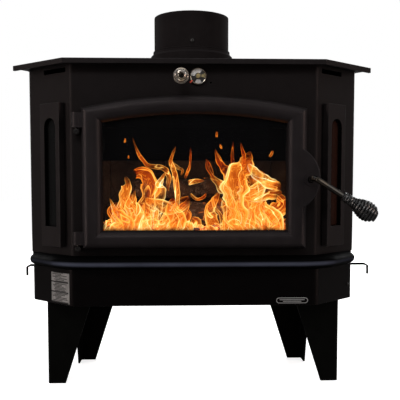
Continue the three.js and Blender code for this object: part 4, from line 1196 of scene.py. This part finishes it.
def window_liner(side, look):
    """A near-black lining in a bay window's slot, from its glass to just inside the frame's face: partly a
    gasket, partly painted shade that keeps the slot's walls dark.
    """
    name = "left" if side < 0 else "right"
    low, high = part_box("window_glass_" + name)
    cant = math.radians(BAY["cant"])
    along = Vector((side * math.cos(cant), math.sin(cant), 0))
    out = Vector((side * math.sin(cant), -math.cos(cant), 0))
    middle = (low + high) / 2
    top_middle = Vector((middle.x, middle.y, 0)) + out * BAY["glass_half"]
    bottom = low.z + BAY["lap"]
    half = BAY["slot_half"] - BAY["wall_gap"]
    crown = high.z - BAY["lap"] - BAY["wall_gap"] - half
    outline = [(-half, bottom + BAY["wall_gap"]), (half, bottom + BAY["wall_gap"])]
    steps = 16
    for step in range(steps + 1):
        angle = math.pi * step / steps
        outline.append((half * math.cos(angle), crown + half * math.sin(angle)))
    inner_scale = (half - BAY["wall"]) / half
    near, far = BAY["wall_gap"], BAY["depth"]
    rings = []
    for depth, scale in ((near, 1.0), (far, 1.0), (far, inner_scale), (near, inner_scale)):
        for across, height in outline:
            rings.append(top_middle + along * across * scale + out * depth + UP * height)
    count = len(outline)
    shape = Shape()
    shape.add(rings, ring_faces(4, count, closed=True))
    return shape.piece("window_liner_" + name, look, slot="body_steel")


def retainer_screws(look):
    """Screws that hold the glass retainer inside the door."""
    low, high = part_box("glass_retainer")
    width, height = high.x - low.x, high.z - low.z
    inset = 0.007
    spots = [((low.x + share * width, high.y, low.z + inset), BACKWARD) for share in (0.08, 0.5, 0.92)]
    for x in (low.x + inset, high.x - inset):
        spots += [((x, high.y, low.z + share * height), BACKWARD) for share in (0.3, 0.7)]
    screws("retainer_screws", spots, look, across=0.0055, body="door", washer=False)


def dial_trim(look):
    """The thermometer's rolled bezel and its scale marks."""
    low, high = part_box("thermometer_dial")
    centre = Vector(((low.x + high.x) / 2, low.y, (low.z + high.z) / 2))
    radius = (high.x - low.x) / 2
    bezel = Shape()
    rings = [(radius - 0.0026, 0.0001), (radius - 0.0022, 0.0010), (radius - 0.0010, 0.0015),
             (radius - 0.0002, 0.0008), (radius - 0.0002, -0.0002), (radius - 0.0026, -0.0002)]
    steps = 48
    points = []
    for out, height in rings:
        for angle in ring_angles(steps):
            spot = Vector((out * math.cos(angle), -height, out * math.sin(angle)))
            points.append(centre + spot)
    bezel.add(points, ring_faces(len(rings), steps, closed=True))
    bezel.piece("dial_bezel", look, slot="dial_metal")
    marks = Shape()
    depth = Vector((0, -0.00035, 0))
    for mark in range(SCALE["marks"]):
        angle = math.radians(SCALE["first"] + SCALE["sweep"] * mark / (SCALE["marks"] - 1))
        inner, half = SCALE["short"] if mark % 5 else SCALE["long"]
        outer = SCALE["outer"]
        out = Vector((math.cos(angle), 0, math.sin(angle)))
        side = Vector((-math.sin(angle), 0, math.cos(angle)))
        outline = ((inner, -half), (outer, -half), (outer, half), (inner, half))
        foot = [centre + out * reach + side * across for reach, across in outline]
        marks.add(foot + [point + depth for point in foot], ring_faces(2, 4) + end_faces(2, 4))
    marks.piece("dial_marks", look, slot="dial_metal")


# ---------------------------------------------------------------- studio
def white_floor():
    """A pale floor that stays white in view and throws little light back up at the dark stove."""
    recipe = Recipe("pale_floor")
    path = recipe.node("ShaderNodeLightPath").outputs["Is Camera Ray"]
    grain = recipe.noise(3, 2)
    seen = recipe.mix(grain, (0.93, 0.93, 0.93), (0.95, 0.95, 0.95))
    recipe.set(Base_Color=recipe.mix(path, (0.25, 0.25, 0.25), seen), Roughness=0.9, Specular_IOR_Level=0.1)
    recipe.set(Emission_Color=(1.0, 1.0, 1.0), Emission_Strength=recipe.times(path, 0.80))
    mesh = bpy.data.meshes.new("studio_floor")
    half = 14.0
    corners = [(-half, -half, 0), (half, -half, 0), (half, half, 0), (-half, half, 0)]
    mesh.from_pydata(corners, [], [(0, 1, 2, 3)])
    mesh.materials.append(recipe.material)
    floor = bpy.data.objects.new("studio_floor", mesh)
    bpy.context.scene.collection.objects.link(floor)


def white_world():
    """White behind everything, and a dimmer sky for the light that reaches the stove."""
    world = bpy.data.worlds.new("studio_world")
    bpy.context.scene.world = world
    world.use_nodes = True
    tree = world.node_tree
    tree.nodes.clear()
    kinds = "OutputWorld Background Background TexCoord SeparateXYZ MapRange MixShader LightPath"
    output, seen, light, direction, axes, height, choose, path = (
        tree.nodes.new("ShaderNode" + kind) for kind in kinds.split())
    seen.inputs["Color"].default_value = (1, 1, 1, 1)
    seen.inputs["Strength"].default_value = 1.0
    for name, value in (("From Min", -0.1), ("From Max", 0.9), ("To Min", 0.02), ("To Max", 0.40)):
        height.inputs[name].default_value = value
    for source, target in (
        (direction.outputs["Generated"], axes.inputs[0]),
        (axes.outputs[2], height.inputs[0]),
        (height.outputs[0], light.inputs["Strength"]),
        (path.outputs["Is Camera Ray"], choose.inputs[0]),
        (light.outputs[0], choose.inputs[1]),
        (seen.outputs[0], choose.inputs[2]),
        (choose.outputs[0], output.inputs[0]),
    ):
        tree.links.new(source, target)


def soft_box(name, place, size, power, target=(0.0, 0.0, 0.45), colour=(1, 1, 1)):
    data = bpy.data.lights.new(name, "AREA")
    data.shape = "RECTANGLE"
    data.size, data.size_y = size
    data.energy = power
    data.color = colour
    lamp = bpy.data.objects.new(name, data)
    lamp.location = place
    lamp.rotation_euler = (Vector(target) - Vector(place)).to_track_quat("-Z", "Y").to_euler()
    bpy.context.scene.collection.objects.link(lamp)
    return lamp


def place_camera():
    data = bpy.data.cameras.new("camera")
    data.lens = CAMERA["lens"]
    data.sensor_width = 36.0
    data.shift_y = CAMERA["shift"]
    camera = bpy.data.objects.new("camera", data)
    camera.location = CAMERA["place"]
    camera.rotation_euler = (math.radians(90 - CAMERA["down"]), 0, math.radians(-CAMERA["turn"]))
    bpy.context.scene.collection.objects.link(camera)
    bpy.context.scene.camera = camera


def set_studio():
    white_floor()
    white_world()
    middle = (0.0, 0.0, 0.5)
    soft_box("key_light", (-1.2, -3.0, 2.7), (3.2, 0.7), 36)
    soft_box("fill_light", (2.2, -2.8, 1.9), (1.6, 1.0), 10)
    soft_box("top_light", (0.0, 0.6, 3.4), (3.5, 3.5), 40, (0.0, 0.2, 0.0))
    soft_box("left_strip", (-3.0, -1.4, 0.9), (0.6, 1.8), 28, middle, (1.0, 0.86, 0.80))
    soft_box("right_strip", (3.0, -1.4, 0.9), (0.6, 1.8), 22, middle, (1.0, 0.78, 0.70))
    soft_box("left_side_light", (-2.9, 2.6, 1.4), (1.2, 1.6), 26)
    soft_box("right_side_light", (2.9, 2.6, 1.4), (1.2, 1.6), 26)
    soft_box("fire_light", (0.0, -0.150, 0.46), (0.40, 0.14), 0.45, (0.0, 0.2, 0.42), (1.0, 0.50, 0.26))
    soft_box("rear_light", (0.6, 3.4, 1.7), (2.2, 1.2), 40)
    view = bpy.context.scene.view_settings
    view.view_transform = "Standard"
    view.look = "None"


# ---------------------------------------------------------------- dressing the stove
def dress_nodes():
    """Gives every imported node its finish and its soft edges. Returns the looks that added pieces share."""
    body = stove_paint("body_paint", (0.0034, 0.0027, 0.0027), (0.0052, 0.0041, 0.0041), 0.50, 0.15)
    plate = stove_paint("plate_paint", (0.0044, 0.0038, 0.0040), (0.0068, 0.0058, 0.0062), 0.48, 0.20)
    # The shelf paint is a much darker copy of the body paint, painted shade for its top, with a painted
    # highlight along its nose.
    shelf = stove_paint("shelf_paint_painted_light", (0.0006, 0.0005, 0.0006), (0.0010, 0.0009, 0.0010), 0.55, 0.02,
                        grain_depth=0.05, dust=0.0008, waviness=0.0, sheen_colour=(0.88, 0.92, 1.0),
                        painted_highlight=(0.074, 0.082, 0.116))
    # The skirt paint is a much darker copy of the body paint: painted shade under the shelf.
    dark = stove_paint("skirt_paint_painted_shade", (0.0005, 0.0004, 0.0004), (0.0008, 0.0006, 0.0006), 0.34, 0.09,
                       dust=0.002)
    leg = stove_paint("leg_paint", (0.0012, 0.0013, 0.0011), (0.0020, 0.0021, 0.0018), 0.45, 0.06,
                      sheen_colour=(1.0, 1.0, 0.95))
    flue = stove_paint("flue_paint", (0.0100, 0.0084, 0.0086), (0.0138, 0.0118, 0.0120), 0.75, 0.03,
                       grain=900)
    cast = stove_paint("cast_paint", (0.0078, 0.0064, 0.0070), (0.0108, 0.0090, 0.0097), 0.46, 0.24,
                       grain=420, grain_depth=0.30)
    # The window frames' edges are lightened more, as a painted highlight along them.
    frame_paint = stove_paint("frame_paint", (0.0056, 0.0044, 0.0044), (0.0082, 0.0064, 0.0064), 0.44, 0.20,
                              grain=420, grain_depth=0.20, edge_wear_and_highlight=0.060)
    sooty = coated("sooty_steel", (0.0008, 0.0006, 0.0008), (0.0026, 0.0020, 0.0023), 0.9, 0.0,
                   scale=60, depth=0.4, specular=0.04)
    rod = heat_tinted_steel()
    black_rod = stove_paint("black_oxide", (0.0005, 0.0005, 0.0005), (0.0010, 0.0010, 0.0010), 0.60, 0.01)
    door_clear = viewing_glass("door_glass_clear", (0.02, 0.02, 0.022), 0.85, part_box("door_glass"), 0.016)
    motor = coated("motor_paint", (0.015, 0.017, 0.020), (0.04, 0.043, 0.048), 0.5, 0.2)
    fan = coated("fan_metal", (0.30, 0.30, 0.30), (0.48, 0.48, 0.47), 0.4, 0.9)
    rubber = coated("gland_rubber", (0.012, 0.012, 0.012), (0.022, 0.022, 0.022), 0.8, 0.0)
    for look, width, names in (
        (plate, 0.0008, "top_plate"),
        (body, 0.0008, "faceplate side_panel_left side_panel_right rear_panel base_plate blower_housing "
                       "latch_strike hinge_stub_upper hinge_stub_lower glass_retainer"),
        (shelf, 0.0008, "hearth_shelf"),
        (dark, 0.0008, "skirt"),
        (leg, 0.0010, "leg_front_left leg_front_right leg_rear_left leg_rear_right"),
        (flue, 0.0004, "flue_collar flue_pipe"),
        (cast, 0.0012, "door_frame latch_cam"),
        (frame_paint, 0.0012, "window_frame_left window_frame_right"),
        (sooty, 0.0010, "firebox_shell baffle_plate air_wash_deflector bypass_damper"),
        (rod, 0.0004, "door_handle_rod bypass_rod hinge_pin_upper hinge_pin_lower"),
        (black_rod, 0.0004, "air_rod_left air_rod_right"),
        (firebrick(), 0.0022, " ".join(name for name in nodes if name.startswith("brick_"))),
        (honeycomb(), 0.0010, "catalytic_combustor"),
        (rope_seal(), 0.0012, "door_gasket"),
        (door_clear, 0.0004, "door_glass"),
        (plain_label(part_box("rating_plate")), 0.0002, "rating_plate"),
        (motor, 0.0008, "blower_motor"),
        (fan, 0.0003, "blower_wheel"),
        (rubber, 0.0006, "cord_gland"),
    ):
        finish_nodes(names.split(), look, width)
    for side in ("left", "right"):
        name = "window_glass_" + side
        # Painted light: the panes are nearly opaque and coloured per side, reddish on the right for the
        # firelit inside seen through it, grey on the left.
        tint = (0.0092, 0.0094, 0.0094) if side == "left" else (0.027, 0.0108, 0.0076)
        look = viewing_glass(name + "_painted_view", tint, 1.0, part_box(name), 0.010, clearness=0.10)
        finish_nodes([name], look, 0.0003)

    low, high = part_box("thermometer_dial")
    centre = Vector(((low.x + high.x) / 2, low.y, (low.z + high.z) / 2))
    finish_nodes(["thermometer_dial"], dial_metal(centre), 0.0004)
    finish_nodes(["thermometer_pointer"], needle_finish(centre, tip=0.0165, hub_radius=0.0055), 0.0002)
    return dark, flue


def add_pieces(dark, flue):
    """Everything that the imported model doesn't hold or holds only as a plain solid."""
    wire = black_wire()
    nickel = nickel_wire()
    zinc = zinc_steel()
    satin = brushed_badge()
    pin_steel = coated("pin_steel", (0.010, 0.009, 0.009), (0.022, 0.020, 0.019), 0.5, 0.5, specular=0.3)
    # Painted shade: the slot linings are near black to keep the slots' walls dark.
    seal_and_painted_shade = coated("black_seal_painted_shade", (0.0006, 0.0006, 0.0006), (0.0014, 0.0013, 0.0013), 0.9, 0.0, specular=0.03)
    spring_coil("door_handle_grip", "handle_coil", wire, "door_handle", "coil_wire", turns=13.5, wire=0.0034,
                direction=Vector((1, 0, -0.6)), end_hole=0.006, tail=0.006, opening=0.14)
    spring_coil("bypass_grip", "bypass_coil", nickel, "bypass_control", "nickel_wire", turns=12.0,
                wire=0.0020, direction=FORWARD, end_hole=0.0022, closing=0.85)
    char = charred_wood()
    for number in (1, 2, 3):
        burnt_log(f"log_{number}", char, seed=3.7 * number)
    ember_bed(ember_glow())
    burning_fire(flame_glow())
    rear_screws(zinc)
    side_screws(zinc)
    # The apron takes the skirt paint, darkened as painted shade.
    shelf_apron(dark)
    skirt_bolt(pin_steel)
    flue_trim(flue, zinc)
    blank_badge(satin, dark)
    hinge_caps(pin_steel)
    retainer_screws(zinc)
    for side in (-1, 1):
        window_liner(side, seal_and_painted_shade)
    dial_trim(nickel)


place_camera()
set_studio()
add_pieces(*dress_nodes())
